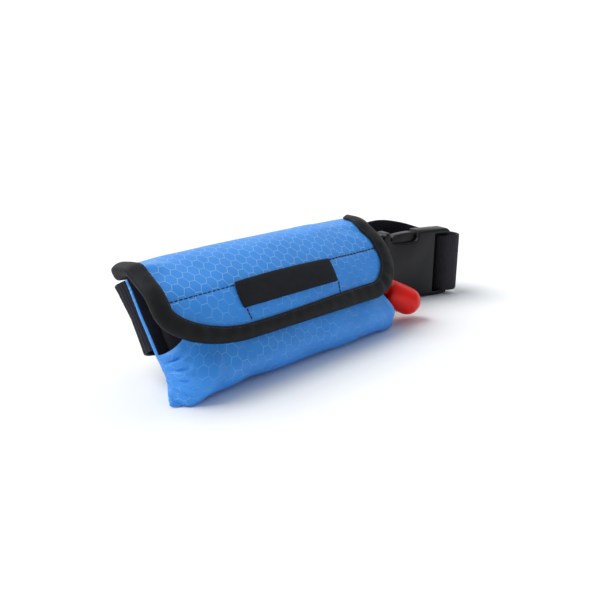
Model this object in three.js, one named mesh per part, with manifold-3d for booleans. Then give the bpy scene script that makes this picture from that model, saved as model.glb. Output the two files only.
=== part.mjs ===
// Inflatable belt pack: a cloth pouch with a bound flap, leaning back on the webbing belt that carries it.
// Millimetres, +Z up. X runs along the pouch, from its left end to the buckle, and Y away from its front.

import * as THREE from "three";
import { ParametricGeometry } from "three/addons/geometries/ParametricGeometry.js";
import { mergeVertices } from "three/addons/utils/BufferGeometryUtils.js";
import Module from "manifold-3d";

const wasm = await Module();
wasm.setup();

// Cloth
const CLOTH = 1.5; // thickness of the flap
const POCKET_CLOTH = 1.2;
const PANEL_CLOTH = 2.0; // back panel with its lining
const TAPE = 0.9; // one layer of the binding tape
const CLEAR = 0.35; // gap between pieces that touch
const RIM = 0.7; // width over which a cut edge of cloth is rounded off

// Pouch
const POUCH_LEFT = 0.8; // left side seam
const POUCH_RIGHT = 149.0; // right side seam
const POUCH_MIDDLE = (POUCH_LEFT + POUCH_RIGHT) / 2;
const POUCH_HALF = (POUCH_RIGHT - POUCH_LEFT) / 2;
const PANEL_INSET = 1.2; // the panel's side edges lie inside the side seams
const PANEL_BULGE = 5.0; // how far the filling pushes the panel's middle back
const FLOAT_INSET = { left: 2.4, right: 8.0 }; // its ends lie inside the side seams
const FLOAT_SPAN = { top: 0.94, bottom: 0.08 }; // share of the panel's height that it covers
const FLOAT_ROUNDING = 27.0; // length over which the float swells from its ends
const FLOAT_POWER = 1.9;
const POCKET_TOE = { out: 8.2, down: 2.6, left: 3.4, reach: 34.0 }; // the left lower corner stands out
const GATHER = { depth: 0.9, reach: 11.0, count: 3.5 }; // ruffles along the side seams

// The two ends of the pocket: how it swells from the side seam, at its bottom and its top,
// and how its open hem falls towards the seam.
const LEFT_END = { rounding: [7.0, 26.0], power: [2.4, 1.6], hemShare: 0.64, hemReach: 21.0 };
const RIGHT_END = { rounding: [6.0, 9.0], power: [2.4, 2.2], hemShare: 0.36, hemReach: 18.0 };

// Flap
const FLAP_LEFT = -5.2;
const FLAP_RIGHT = 149.0;
const FLAP_DROOP = { fall: 1.0, reach: 24.0, from: 10.0, to: 34.0 }; // its left back end hangs down
const FLAP_RISE = { lift: 1.8, from: 26.0, to: 44.0 }; // the ridge is higher at the right end
const LEFT_CORNER = { along: 44.0, down: 20.5 };
const RIGHT_CORNER = { along: 24.0, down: 20.0 };
const BACK_CORNER = { along: 11.0, down: 15.0 }; // left back end of the flap
const TAPE_WIDTH = { left: 6.8, hem: 6.1, right: 8.8 };
const TAPE_START = { left: 15.0, right: 8.0 }; // distance of its two ends from the back seam

// Label
const LABEL_LEFT = 37.4;
const LABEL_LENGTH = 63.5;
const LABEL_TOP = 43.4; // distance from the back seam, along the flap
const LABEL_HEIGHT = 12.4;
const LABEL_TILT = 0.8; // its left end lies lower
const LABEL_CLOTH = 1.0;

// Belt and buckle
const WEB_WIDTH = 38.0;
const WEB = 1.8;
const KEEPER = { left: 74.0, right: 108.0, cloth: 1.4, sewn: [0.05, 0.09, 0.92, 0.96] };
const KEEPER_FOLD = { near: 0.6, far: 2.4 }; // how it steps down past the webbing's edges
const BUCKLE_HEIGHT = 45.8;
const BUCKLE_DEPTH = 12.0;
const BUCKLE_TURN = THREE.MathUtils.degToRad(-19); // towards the viewer
const BUCKLE_AT = new THREE.Vector3(209.7, 23.0, 0);
const BUCKLE_BEVEL = 1.4;
const SOCKET = { mouth: -30.0, end: 24.0, wall: 2.6, corner: 5.0, cavityEnd: 4.0, cavityEdge: 4.2 };
const WINDOW = { middle: -12.0, half: 13.0, deep: 11.5, lip: 2.0, draw: 3.0 }; // side windows
const SOCKET_SLOT = { from: 10.2, to: 17.6, front: 3.6, back: 3.4 }; // the bar past it is set in
const PLUG = { bar: -50.0, edge: 0.6, corner: 4.0, tongue: 28.0, tongueHeight: 9.0 };
const PLUG_SLOT = { from: -44.0, to: -38.0, front: 3.4, back: 3.0 };
const SLOT_HEIGHT = WEB_WIDTH + 2;

// Red knob
const KNOB_RADIUS = 8.3;
const KNOB_LENGTH = 16.0;
const KNOB_NECK = { length: 13.0, radius: 3.6 };
const KNOB_RIM = { shoulder: 2.2, edge: 0.4, height: 1.6 }; // rounding of its flat end
const KNOB_CAP = new THREE.Vector3(165.3, 2.5, 11.5); // centre of the round nose
const KNOB_AXIS = new THREE.Vector3(0.78, -0.43, -0.45).normalize();

// Sections across the pouch, each from its sewn edge to its free edge

const FLAP_SECTION = [
  { y: 42.8, z: 47.4 },
  { y: 42.0, z: 52.6 },
  { y: 36.0, z: 57.2 },
  { y: 25.4, z: 56.6 },
  { y: 16.2, z: 52.0 },
  { y: 9.2, z: 46.3 },
  { y: 4.8, z: 40.2 },
  { y: 1.3, z: 34.0 },
  { y: -1.8, z: 28.6 },
  { y: -4.0, z: 24.0 },
  { y: -5.4, z: 20.4 }, // past the hem, where the tape folds round
];
const FLAP_HEM = FLAP_SECTION[9];

const POCKET_SECTION = [
  { y: 11.2, z: 0.6 },
  { y: 4.0, z: 0.6 },
  { y: -1.6, z: 2.0 },
  { y: -5.6, z: 6.5 },
  { y: -6.6, z: 12.0 },
  { y: -4.6, z: 17.0 },
  { y: -1.2, z: 22.5 },
  { y: 2.3, z: 28.5 },
  { y: 5.7, z: 35.0 },
  { y: 8.6, z: 40.0 },
];

const LEFT_SEAM = [
  { y: 5.0, z: 0.6 },
  { y: 10.8, z: 9.0 },
  { y: 16.2, z: 19.0 },
];

const RIGHT_SEAM = [
  { y: 8.4, z: 0.6 },
  { y: 9.4, z: 5.0 },
  { y: 10.6, z: 10.0 },
];

const PANEL_SECTION = [
  { y: 12.0, z: 1.5 },
  { y: 13.4, z: 9.0 },
  { y: 18.0, z: 18.0 },
  { y: 27.8, z: 32.0 },
  { y: 36.0, z: 43.2 },
  { y: 40.6, z: 49.2 },
];

const FLOAT_SECTION = [
  { y: 6.0, z: 3.0 },
  { y: -0.4, z: 5.0 },
  { y: -3.6, z: 10.0 },
  { y: -2.6, z: 16.0 },
  { y: 0.6, z: 22.5 },
  { y: 4.4, z: 29.5 },
  { y: 8.4, z: 36.5 },
  { y: 12.6, z: 42.8 },
  { y: 18.8, z: 49.4 },
  { y: 26.4, z: 53.4 },
  { y: 33.4, z: 53.8 },
];

function curveOf(rows) {
  return new THREE.CatmullRomCurve3(rows.map((row) => new THREE.Vector3(0, row.y, row.z)));
}

const flapCurve = curveOf(FLAP_SECTION);
const pocketCurve = curveOf(POCKET_SECTION);
const leftSeamCurve = curveOf(LEFT_SEAM);
const rightSeamCurve = curveOf(RIGHT_SEAM);
const panelCurve = curveOf(PANEL_SECTION);
const floatCurve = curveOf(FLOAT_SECTION);

const FLAP_SECTION_LENGTH = flapCurve.getLength();
const FLAP_LENGTH = lengthTo(flapCurve, FLAP_HEM);

// Distance along a section to the row that it passes through.
function lengthTo(curve, row) {
  const index = curve.points.findIndex((p) => p.y === row.y && p.z === row.z);
  return curve.getLengths(400)[Math.round((400 * index) / (curve.points.length - 1))];
}

// Smooth step from 0 to 1.
function ease(value) {
  return THREE.MathUtils.smoothstep(value, 0, 1);
}

// Solids

// One closed body from a mesh whose touching points are merged.
function weld(geometry) {
  geometry.deleteAttribute("normal");
  geometry.deleteAttribute("uv");
  const merged = mergeVertices(geometry, 1e-4);
  const index = merged.index.array;
  const kept = [];
  for (let i = 0; i < index.length; i += 3) {
    const [a, b, c] = [index[i], index[i + 1], index[i + 2]];
    if (a !== b && b !== c && c !== a) kept.push(a, b, c);
  }
  merged.setIndex(kept);
  if (volumeOf(merged) < 0) merged.setIndex(kept.reverse());
  return merged;
}

function volumeOf(geometry) {
  const p = geometry.attributes.position;
  const index = geometry.index.array;
  const [a, b, c] = [new THREE.Vector3(), new THREE.Vector3(), new THREE.Vector3()];
  let volume = 0;
  for (let i = 0; i < index.length; i += 3) {
    a.fromBufferAttribute(p, index[i]);
    b.fromBufferAttribute(p, index[i + 1]);
    c.fromBufferAttribute(p, index[i + 2]);
    volume += a.dot(b.cross(c)) / 6;
  }
  return volume;
}

function toSolid(geometry) {
  const welded = weld(geometry);
  return new wasm.Manifold(
    new wasm.Mesh({
      numProp: 3,
      vertProperties: new Float32Array(welded.attributes.position.array),
      triVerts: new Uint32Array(welded.index.array),
    }),
  );
}

function toGeometry(solid) {
  const mesh = solid.getMesh();
  const geometry = new THREE.BufferGeometry();
  geometry.setAttribute("position", new THREE.BufferAttribute(mesh.vertProperties, 3));
  geometry.setIndex(new THREE.BufferAttribute(mesh.triVerts, 1));
  return geometry;
}

// Parameter values from 0 to 1, with a narrow rim at each end.
function spaced(count, rim) {
  const values = [0];
  for (let i = 0; i <= count; i += 1) values.push(rim + ((1 - 2 * rim) * i) / count);
  return [...values, 1];
}

// A wall of cloth round the middle surface at(u, v), closed along its four rims.
function wall(at, thickness, columns, rows) {
  const near = 1e-3;
  const normal = (u, v) => {
    const along = at(Math.min(u + near, 1), v).sub(at(Math.max(u - near, 0), v));
    const across = at(u, Math.min(v + near, 1)).sub(at(u, Math.max(v - near, 0)));
    return along.cross(across).normalize();
  };
  const isRim = (value) => value === 0 || value === 1;
  const turn = rows.length - 1;
  const corner = (slice, stack, target) => {
    const u = columns[Math.round(slice * (columns.length - 1))];
    const step = Math.round(stack * 2 * turn);
    const v = rows[step <= turn ? step : 2 * turn - step];
    target.copy(at(u, v));
    if (isRim(u) || isRim(v)) return;
    target.addScaledVector(normal(u, v), ((step < turn ? 1 : -1) * thickness) / 2);
  };
  return weld(new ParametricGeometry(corner, columns.length - 1, 2 * turn));
}

// Pouch surfaces

// Middle surface of the back panel: its own section, pushed back by the filling. v runs from the bottom up.
function panelAt(x, v) {
  const point = panelCurve.getPointAt(v);
  const tangent = panelCurve.getTangentAt(v);
  const fromMiddle = Math.min(Math.abs(x - POUCH_MIDDLE) / POUCH_HALF, 1);
  const bulge = PANEL_BULGE * (1 - fromMiddle ** 4) * Math.sin(Math.PI * v);
  return new THREE.Vector3(x, point.y + bulge * tangent.z, point.z - bulge * tangent.y);
}

// Unit vector out of the panel's hidden face.
function panelOut(x, v) {
  const step = 1e-3;
  const up = panelAt(x, Math.min(v + step, 1)).sub(panelAt(x, Math.max(v - step, 0)));
  return new THREE.Vector3(0, up.z, -up.y).normalize();
}

// How far a filled piece has swollen at a distance from its end: from 0 to 1.
function fill(fromEnd, rounding, power) {
  const rest = 1 - THREE.MathUtils.clamp(fromEnd / rounding, 0, 1);
  return (1 - rest ** power) ** (1 / power);
}

// Middle surface of the pocket. v runs from the bottom seam up to the open hem.
function pocketAt(x, v) {
  const isLeft = x < POUCH_MIDDLE;
  const end = isLeft ? LEFT_END : RIGHT_END;
  const fromSeam = isLeft ? x - POUCH_LEFT : POUCH_RIGHT - x;
  const hem = THREE.MathUtils.lerp(end.hemShare, 1, Math.min(fromSeam / end.hemReach, 1));
  const full = pocketCurve.getPointAt(v * hem);
  const seam = (isLeft ? leftSeamCurve : rightSeamCurve).getPointAt(v);
  const rounding = THREE.MathUtils.lerp(...end.rounding, ease(v));
  const share = fill(fromSeam, rounding, THREE.MathUtils.lerp(...end.power, v));
  const fade = Math.max(0, 1 - fromSeam / GATHER.reach) * Math.sin(Math.PI * share);
  const ruffle = GATHER.depth * fade * Math.sin(2 * Math.PI * GATHER.count * v);
  const toe = (1 - ease((x - POUCH_LEFT) / POCKET_TOE.reach)) * (1 - ease(2 * v));
  const point = seam.lerp(full, share);
  point.x = x - POCKET_TOE.left * toe * (1 - share);
  point.y -= ruffle + POCKET_TOE.out * toe * share;
  point.z = Math.max(point.z - POCKET_TOE.down * toe * share, POCKET_CLOTH / 2);
  return point;
}

// Middle surface of the flap. s is the distance from the back seam.
function flapAt(x, s) {
  const point = flapCurve.getPointAt(THREE.MathUtils.clamp(s / FLAP_SECTION_LENGTH, 0, 1));
  const atEnd = 1 - ease((x - FLAP_LEFT) / FLAP_DROOP.reach);
  const { from, to } = FLAP_DROOP;
  const droop = FLAP_DROOP.fall * atEnd * ease(s / from) * (1 - ease((s - from) / (to - from)));
  const onTop = ease(s / from) * (1 - ease((s - FLAP_RISE.from) / (FLAP_RISE.to - FLAP_RISE.from)));
  const rise = FLAP_RISE.lift * onTop * ((x - POUCH_MIDDLE) / POUCH_HALF);
  return new THREE.Vector3(x, point.y - droop / 2, point.z - droop + rise);
}

function flapOut(x, s) {
  const step = 0.2;
  const along = flapAt(x + step, s).sub(flapAt(x - step, s));
  const down = flapAt(x, s + step).sub(flapAt(x, Math.max(s - step, 0)));
  return down.cross(along).normalize();
}

// Left and right limits of the flap at a distance s from the back seam, with rounded front corners.
function flapLimit(s, corner) {
  const into = Math.max(0, s - (FLAP_LENGTH - corner.down)) / corner.down;
  return corner.along * (1 - Math.sqrt(Math.max(0, 1 - into ** 2)));
}

function onFlap(u, s) {
  const atBack = Math.max(0, 1 - s / BACK_CORNER.down);
  const cut = BACK_CORNER.along * (1 - Math.sqrt(1 - atBack ** 2));
  const left = FLAP_LEFT + flapLimit(s, LEFT_CORNER) + cut;
  const right = FLAP_RIGHT - flapLimit(s, RIGHT_CORNER);
  return flapAt(THREE.MathUtils.lerp(left, right, u), s);
}

// Pouch pieces

function backPanel() {
  const left = POUCH_LEFT + PANEL_INSET;
  const right = POUCH_RIGHT - PANEL_INSET;
  const at = (u, v) => panelAt(THREE.MathUtils.lerp(left, right, u), v);
  return wall(at, PANEL_CLOTH, spaced(16, RIM / (right - left)), spaced(9, RIM / panelCurve.getLength()));
}

function frontPocket() {
  // Columns lie closer together at the side seams, where the cloth turns.
  const at = (u, v) => {
    const turned = (1 - Math.cos(Math.PI * u)) / 2;
    const eased = THREE.MathUtils.lerp(u, turned, 0.75);
    return pocketAt(THREE.MathUtils.lerp(POUCH_LEFT, POUCH_RIGHT, eased), v);
  };
  return wall(at, POCKET_CLOTH, spaced(32, 0.012), spaced(13, RIM / pocketCurve.getLength()));
}

function flap() {
  const straight = FLAP_LENGTH - LEFT_CORNER.down;
  const rows = [0, RIM / FLAP_LENGTH];
  const steps = 13;
  for (let i = 1; i <= steps; i += 1) rows.push((straight * i) / steps / FLAP_LENGTH);
  for (let angle = 15; angle < 90; angle += 15) {
    rows.push((straight + LEFT_CORNER.down * Math.sin(THREE.MathUtils.degToRad(angle))) / FLAP_LENGTH);
  }
  rows.push(1);
  const at = (u, v) => onFlap(u, v * FLAP_LENGTH);
  return wall(at, CLOTH, spaced(22, RIM / (FLAP_RIGHT - FLAP_LEFT)), rows);
}

// Edge of the flap in the plane of x and s, from its left back end round to its right back end.
function flapEdge() {
  const path = new THREE.Path();
  const turn = (corner, x, from, to) => {
    path.absellipse(x, FLAP_LENGTH - corner.down, corner.along, corner.down, from, to, true);
  };
  path.moveTo(FLAP_LEFT, TAPE_START.left);
  path.lineTo(FLAP_LEFT, FLAP_LENGTH - LEFT_CORNER.down);
  turn(LEFT_CORNER, FLAP_LEFT + LEFT_CORNER.along, Math.PI, Math.PI / 2);
  path.lineTo(FLAP_RIGHT - RIGHT_CORNER.along, FLAP_LENGTH);
  turn(RIGHT_CORNER, FLAP_RIGHT - RIGHT_CORNER.along, Math.PI / 2, 0);
  path.lineTo(FLAP_RIGHT, TAPE_START.right);
  return path;
}

function flapBinding() {
  const edge = flapEdge();
  const lift = CLOTH / 2 + CLEAR + TAPE / 2;
  const over = CLEAR + TAPE / 2;
  // How the tape folds round the edge: its share of the width towards the flap's middle, and its lift.
  const fold = [
    { share: 1, over: 0, lift },
    { share: 0.05, over: 0, lift },
    { share: 0, over, lift: lift * 0.55 },
    { share: 0, over, lift: -lift * 0.55 },
    { share: 0.05, over: 0, lift: -lift },
    { share: 1, over: 0, lift: -lift },
  ];
  const widthAt = (x) => {
    const left = 1 - ease((x - FLAP_LEFT) / LEFT_CORNER.along);
    const right = 1 - ease((FLAP_RIGHT - x) / RIGHT_CORNER.along);
    return TAPE_WIDTH.left * left + TAPE_WIDTH.right * right + TAPE_WIDTH.hem * (1 - left - right);
  };
  const at = (u, v) => {
    const spot = edge.getPointAt(u);
    const tangent = edge.getTangentAt(u);
    const row = Math.min(Math.floor(v * (fold.length - 1)), fold.length - 2);
    const part = v * (fold.length - 1) - row;
    const width = widthAt(spot.x);
    const insetOf = (step) => step.share * width - step.over;
    const inset = THREE.MathUtils.lerp(insetOf(fold[row]), insetOf(fold[row + 1]), part);
    const away = THREE.MathUtils.lerp(fold[row].lift, fold[row + 1].lift, part);
    const x = spot.x + tangent.y * inset;
    const s = spot.y - tangent.x * inset;
    return flapAt(x, s).addScaledVector(flapOut(x, s), away);
  };
  const rim = 0.01;
  const rows = [0, rim, ...fold.slice(1, -1).map((_, i) => (i + 1) / (fold.length - 1)), 1 - rim, 1];
  return wall(at, TAPE, spaced(66, RIM / edge.getLength()), rows);
}

function label() {
  const lift = CLOTH / 2 + CLEAR + LABEL_CLOTH / 2;
  const at = (u, v) => {
    const x = LABEL_LEFT + u * LABEL_LENGTH;
    const s = LABEL_TOP + v * LABEL_HEIGHT + (1 - u) * LABEL_TILT;
    return flapAt(x, s).addScaledVector(flapOut(x, s), lift);
  };
  return wall(at, LABEL_CLOTH, spaced(6, RIM / LABEL_LENGTH), spaced(3, RIM / LABEL_HEIGHT));
}

// The folded float fills the space between the pocket, the flap and the back panel.
// Its left end is pressed flat against the panel, and its right end is rounded.
function packedFloat() {
  const left = POUCH_LEFT + FLOAT_INSET.left;
  const right = POUCH_RIGHT - FLOAT_INSET.right;
  const inside = PANEL_CLOTH / 2 + CLEAR;
  const sideRows = 12;
  const around = 2 * sideRows;
  const along = 20;
  const corner = (turn, share, target) => {
    const eased = (1 - Math.cos(Math.PI * share)) / 2;
    const x = THREE.MathUtils.lerp(left, right, eased);
    const size = fill(Math.min(x - left, right - x), FLOAT_ROUNDING, FLOAT_POWER);
    const back = (height) => {
      const v = THREE.MathUtils.lerp(FLOAT_SPAN.bottom, FLOAT_SPAN.top, height);
      return panelAt(x, v).addScaledVector(panelOut(x, v), -inside);
    };
    const front = (height) => floatCurve.getPointAt(height).setX(x);
    const step = Math.round(turn * around) % around;
    const height = step <= sideRows ? step / sideRows : 2 - step / sideRows;
    const point = step < sideRows ? front(height) : back(height);
    const end = x < POUCH_MIDDLE ? back(height) : front(0.5).lerp(back(0.5), 0.6);
    target.copy(end.lerp(point, size));
  };
  return weld(new ParametricGeometry(corner, around, along));
}

// The bullet-shaped knob with the neck that holds it to the float.
function triggerKnob() {
  const base = -KNOB_LENGTH;
  const profile = [
    new THREE.Vector2(0, base - KNOB_NECK.length),
    new THREE.Vector2(KNOB_NECK.radius, base - KNOB_NECK.length),
    new THREE.Vector2(KNOB_NECK.radius, base),
    new THREE.Vector2(KNOB_RADIUS - KNOB_RIM.shoulder, base),
    new THREE.Vector2(KNOB_RADIUS - KNOB_RIM.edge, base + KNOB_RIM.height),
  ];
  const steps = 7;
  for (let i = 0; i < steps; i += 1) {
    const angle = (Math.PI / 2) * (i / steps);
    profile.push(new THREE.Vector2(KNOB_RADIUS * Math.cos(angle), KNOB_RADIUS * Math.sin(angle)));
  }
  profile.push(new THREE.Vector2(0, KNOB_RADIUS));
  return weld(new THREE.LatheGeometry(profile, 18));
}

// Belt

// A place in the buckle's own frame: along its length, towards its front, and up.
const buckleFrame = new THREE.Matrix4().makeRotationZ(BUCKLE_TURN).setPosition(BUCKLE_AT);

function onBuckle(along, front, up) {
  return new THREE.Vector3(along, -front, up).applyMatrix4(buckleFrame);
}

const BELT_MIDDLE = BUCKLE_HEIGHT / 2;

// Middle line of the webbing. Rows in the buckle's frame give along and front, the others x and y.
// lean is the angle in degrees by which the top of the webbing lies further back.
const BELT_ROWS = [
  { along: -66, front: -3.6, z: BELT_MIDDLE, lean: 0 },
  { along: -56, front: -1.6, z: BELT_MIDDLE, lean: 0 },
  { along: -47, front: -0.9, z: BELT_MIDDLE, lean: 0 },
  { along: -42.4, front: -2.2, z: BELT_MIDDLE, lean: 0 },
  { along: -41.2, front: -6.0, z: BELT_MIDDLE, lean: 0 },
  { along: -42.2, front: -9.6, z: BELT_MIDDLE, lean: 0 },
  { along: -46, front: -11.3, z: BELT_MIDDLE, lean: 0 },
  { along: -52, front: -11.3, z: BELT_MIDDLE, lean: 2 },
  { x: 148, y: 48.6, z: 24.0, lean: 8 },
  { x: 128, y: 40.0, z: 23.4, lean: 20 },
  { x: 108, y: 33.4, z: 22.6, lean: 32 },
  { x: 75, y: 32.0, z: 23.6, lean: 36 },
  { x: 40, y: 34.8, z: 27.6, lean: 37 },
  { x: 16, y: 37.0, z: 30.8, lean: 38 },
  { x: 8.2, y: 37.6, z: 31.2, lean: 38 },
  { x: 4.2, y: 41.8, z: 28.6, lean: 38 },
  { x: 8.2, y: 46.2, z: 25.6, lean: 37 },
  { x: 16, y: 48.0, z: 24.8, lean: 35 },
  { x: 36, y: 52.0, z: 22.8, lean: 26 },
  { x: 66, y: 56.6, z: 20.0, lean: 12 },
  { x: 105, y: 59.8, z: 19.0, lean: 2 },
  { x: 150, y: 61.8, z: 19.2, lean: 0 },
  { x: 188, y: 63.6, z: 20.6, lean: 0 },
  { x: 216, y: 63.6, z: 22.2, lean: 0 },
  { x: 233, y: 57.4, z: 23.2, lean: 0 },
  { x: 240, y: 46.0, z: 23.6, lean: 0 },
  { x: 241, y: 34.0, z: BELT_MIDDLE, lean: 0 },
  { along: 30.2, front: -10.0, z: BELT_MIDDLE, lean: 0 },
  { along: 30.0, front: -2.4, z: BELT_MIDDLE, lean: 0 },
  { along: 25.0, front: 1.6, z: BELT_MIDDLE, lean: 0 },
  { along: 18.6, front: 1.2, z: BELT_MIDDLE, lean: 0 },
  { along: 14.6, front: -3.0, z: BELT_MIDDLE, lean: 0 },
  { along: 13.0, front: -9.4, z: BELT_MIDDLE, lean: 0 },
  { along: 10.4, front: -13.8, z: BELT_MIDDLE, lean: 0 },
  { along: 4.0, front: -14.8, z: BELT_MIDDLE, lean: 0 },
  { along: -12, front: -14.8, z: BELT_MIDDLE, lean: 0 },
];

function beltPoint(row) {
  if ("along" in row) return onBuckle(row.along, row.front, row.z);
  return new THREE.Vector3(row.x, row.y, row.z);
}

const beltRoute = new THREE.CatmullRomCurve3(BELT_ROWS.map(beltPoint), false, "centripetal");
const beltLean = new THREE.SplineCurve(BELT_ROWS.map((row, i) => new THREE.Vector2(i, row.lean)));

// Upward direction across the webbing at a place on its route.
function beltUp(t) {
  const lean = THREE.MathUtils.degToRad(beltLean.getPoint(t).y);
  return new THREE.Vector3(0, Math.sin(lean), Math.cos(lean));
}

function belt() {
  const at = (u, v) => beltRoute.getPoint(u).addScaledVector(beltUp(u), (v - 0.5) * WEB_WIDTH);
  const count = (BELT_ROWS.length - 1) * 3;
  return wall(at, WEB, spaced(count, 0.001), spaced(1, RIM / WEB_WIDTH));
}

// The route's own parameter at x, on the run of the belt that lies along the panel.
function beltParameter(x) {
  const last = BELT_ROWS.length - 1;
  let low = BELT_ROWS.findIndex((row) => row.x === KEEPER.right);
  let high = low + 3;
  for (let i = 0; i < 30; i += 1) {
    const middle = (low + high) / 2;
    if (beltRoute.getPoint(middle / last).x > x) low = middle;
    else high = middle;
  }
  return low / last;
}

// A band sewn to the panel above and below the belt.
function beltKeeper() {
  const half = KEEPER.cloth / 2;
  const off = WEB / 2 + CLEAR + half;
  const near = WEB_WIDTH / 2 + KEEPER_FOLD.near;
  const far = WEB_WIDTH / 2 + KEEPER_FOLD.far;
  const [lowEnd, low, high, highEnd] = KEEPER.sewn;
  const rows = [
    { panel: highEnd },
    { panel: high },
    { across: far, lift: 0 },
    { across: near, lift: off },
    { across: -near, lift: off },
    { across: -far, lift: 0 },
    { panel: low },
    { panel: lowEnd },
  ];
  const last = rows.length - 1;
  const pointOf = (row, x) => {
    if ("panel" in row) {
      const sewn = panelOut(x, row.panel).multiplyScalar(PANEL_CLOTH / 2 + CLEAR + half);
      return panelAt(x, row.panel).add(sewn);
    }
    const t = beltParameter(x);
    const up = beltUp(t);
    const out = new THREE.Vector3(0, up.z, -up.y);
    return beltRoute.getPoint(t).addScaledVector(up, row.across).addScaledVector(out, row.lift);
  };
  const at = (u, v) => {
    const x = THREE.MathUtils.lerp(KEEPER.left, KEEPER.right, u);
    const row = Math.min(Math.floor(v * last), last - 1);
    return pointOf(rows[row], x).lerp(pointOf(rows[row + 1], x), v * last - row);
  };
  const rim = 0.02;
  const values = [0, rim, ...rows.slice(1, -1).map((_, i) => (i + 1) / last), 1 - rim, 1];
  return wall(at, KEEPER.cloth, spaced(8, RIM / (KEEPER.right - KEEPER.left)), values);
}

// Buckle, drawn lying along X with its front towards -Y

// A block with rounded edges: a shape in length and height, extruded through the depth.
function slab(shape, depth, back, bevel) {
  const geometry = new THREE.ExtrudeGeometry(shape, {
    depth: depth - 2 * bevel,
    bevelEnabled: bevel > 0,
    bevelThickness: bevel,
    bevelSize: bevel,
    bevelOffset: -bevel,
    bevelSegments: 2,
    curveSegments: 8,
  });
  return toSolid(geometry.translate(0, 0, bevel).rotateX(Math.PI / 2).translate(0, back, 0));
}

// A plain block between two places along the buckle and two places through it, about its mid height.
function block(x, y, height) {
  const box = new THREE.BoxGeometry(x[1] - x[0], y[1] - y[0], height);
  return toSolid(box.translate((x[0] + x[1]) / 2, (y[0] + y[1]) / 2, BUCKLE_HEIGHT / 2));
}

// Cuts the slot for the webbing, and sets the bar beside it in from both faces.
function cutSlot(body, slot, bar) {
  const [front, back] = [-BUCKLE_DEPTH, 2 * BUCKLE_DEPTH];
  return body
    .subtract(block([slot.from, slot.to], [front, back], SLOT_HEIGHT))
    .subtract(block(bar, [front, slot.front], SLOT_HEIGHT))
    .subtract(block(bar, [BUCKLE_DEPTH - slot.back, back], SLOT_HEIGHT));
}

function buckleSocket() {
  const { mouth, end, corner } = SOCKET;
  const top = BUCKLE_HEIGHT;
  const left = WINDOW.middle - WINDOW.half;
  const right = WINDOW.middle + WINDOW.half;
  const bow = WINDOW.deep * 1.3;
  const shape = new THREE.Shape();
  shape.moveTo(mouth, corner);
  shape.quadraticCurveTo(mouth, 0, left - WINDOW.lip, 0);
  shape.lineTo(left, 0);
  shape.bezierCurveTo(left + WINDOW.draw, bow, right - WINDOW.draw, bow, right, 0);
  shape.lineTo(end - corner, 0);
  shape.absarc(end - corner, corner, corner, -Math.PI / 2, 0, false);
  shape.lineTo(end, top - corner);
  shape.absarc(end - corner, top - corner, corner, 0, Math.PI / 2, false);
  shape.lineTo(right, top);
  shape.bezierCurveTo(right - WINDOW.draw, top - bow, left + WINDOW.draw, top - bow, left, top);
  shape.lineTo(left - WINDOW.lip, top);
  shape.quadraticCurveTo(mouth, top, mouth, top - corner);
  const walls = [SOCKET.wall, BUCKLE_DEPTH - SOCKET.wall];
  const cavity = block([mouth - 1, SOCKET.cavityEnd], walls, top - 2 * SOCKET.cavityEdge);
  const body = slab(shape, BUCKLE_DEPTH, BUCKLE_DEPTH, BUCKLE_BEVEL).subtract(cavity);
  return toGeometry(cutSlot(body, SOCKET_SLOT, [SOCKET_SLOT.to - 0.1, end + 1]));
}

function bucklePlug() {
  const { bar, edge, corner } = PLUG;
  const top = BUCKLE_HEIGHT - edge;
  const base = SOCKET.mouth - CLEAR;
  const frame = new THREE.Shape();
  frame.moveTo(bar + corner, edge);
  frame.lineTo(base, edge);
  frame.lineTo(base, top);
  frame.lineTo(bar + corner, top);
  frame.absarc(bar + corner, top - corner, corner, Math.PI / 2, Math.PI, false);
  frame.lineTo(bar, edge + corner);
  frame.absarc(bar + corner, edge + corner, corner, Math.PI, 1.5 * Math.PI, false);
  const body = slab(frame, BUCKLE_DEPTH, BUCKLE_DEPTH, BUCKLE_BEVEL);
  const inner = [SOCKET.wall + CLEAR, BUCKLE_DEPTH - SOCKET.wall - CLEAR];
  const tongue = block([base - 1, base + PLUG.tongue - 1], inner, PLUG.tongueHeight);
  let plug = cutSlot(body, PLUG_SLOT, [bar - 1, PLUG_SLOT.from + 0.1]).add(tongue);
  for (const side of [-1, 1]) {
    plug = plug.add(slab(springArm(base, side), inner[1] - inner[0], inner[1], 0.6));
  }
  return toGeometry(plug);
}

// One spring arm with its press pad, which bulges into the side window. side is 1 above and -1 below.
function springArm(base, side) {
  const at = (z) => BUCKLE_HEIGHT / 2 + side * z;
  const arm = new THREE.Shape();
  arm.moveTo(base - 2, at(11));
  arm.lineTo(base + 8, at(11.5));
  arm.bezierCurveTo(base + 16, at(9.2), base + 24, at(9.6), base + 33, at(12));
  arm.lineTo(base + 33, at(17));
  arm.lineTo(base + 28.4, at(18));
  arm.bezierCurveTo(base + 24, at(21.4), base + 14, at(22.2), base + 8, at(18.2));
  arm.lineTo(base - 2, at(18.2));
  return arm;
}

// Assembly

const finish = {
  blueCloth: new THREE.MeshStandardMaterial({ color: 0x4f97dd, roughness: 0.62, metalness: 0 }),
  blackTape: new THREE.MeshStandardMaterial({ color: 0x222326, roughness: 0.75, metalness: 0 }),
  blackCover: new THREE.MeshStandardMaterial({ color: 0x1b1b1f, roughness: 0.85, metalness: 0 }),
  webbing: new THREE.MeshStandardMaterial({ color: 0x2a282e, roughness: 0.8, metalness: 0 }),
  blackPlastic: new THREE.MeshStandardMaterial({ color: 0x242427, roughness: 0.45, metalness: 0 }),
  redRubber: new THREE.MeshStandardMaterial({ color: 0xd8241f, roughness: 0.4, metalness: 0 }),
};

const pack = new THREE.Group();

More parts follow.
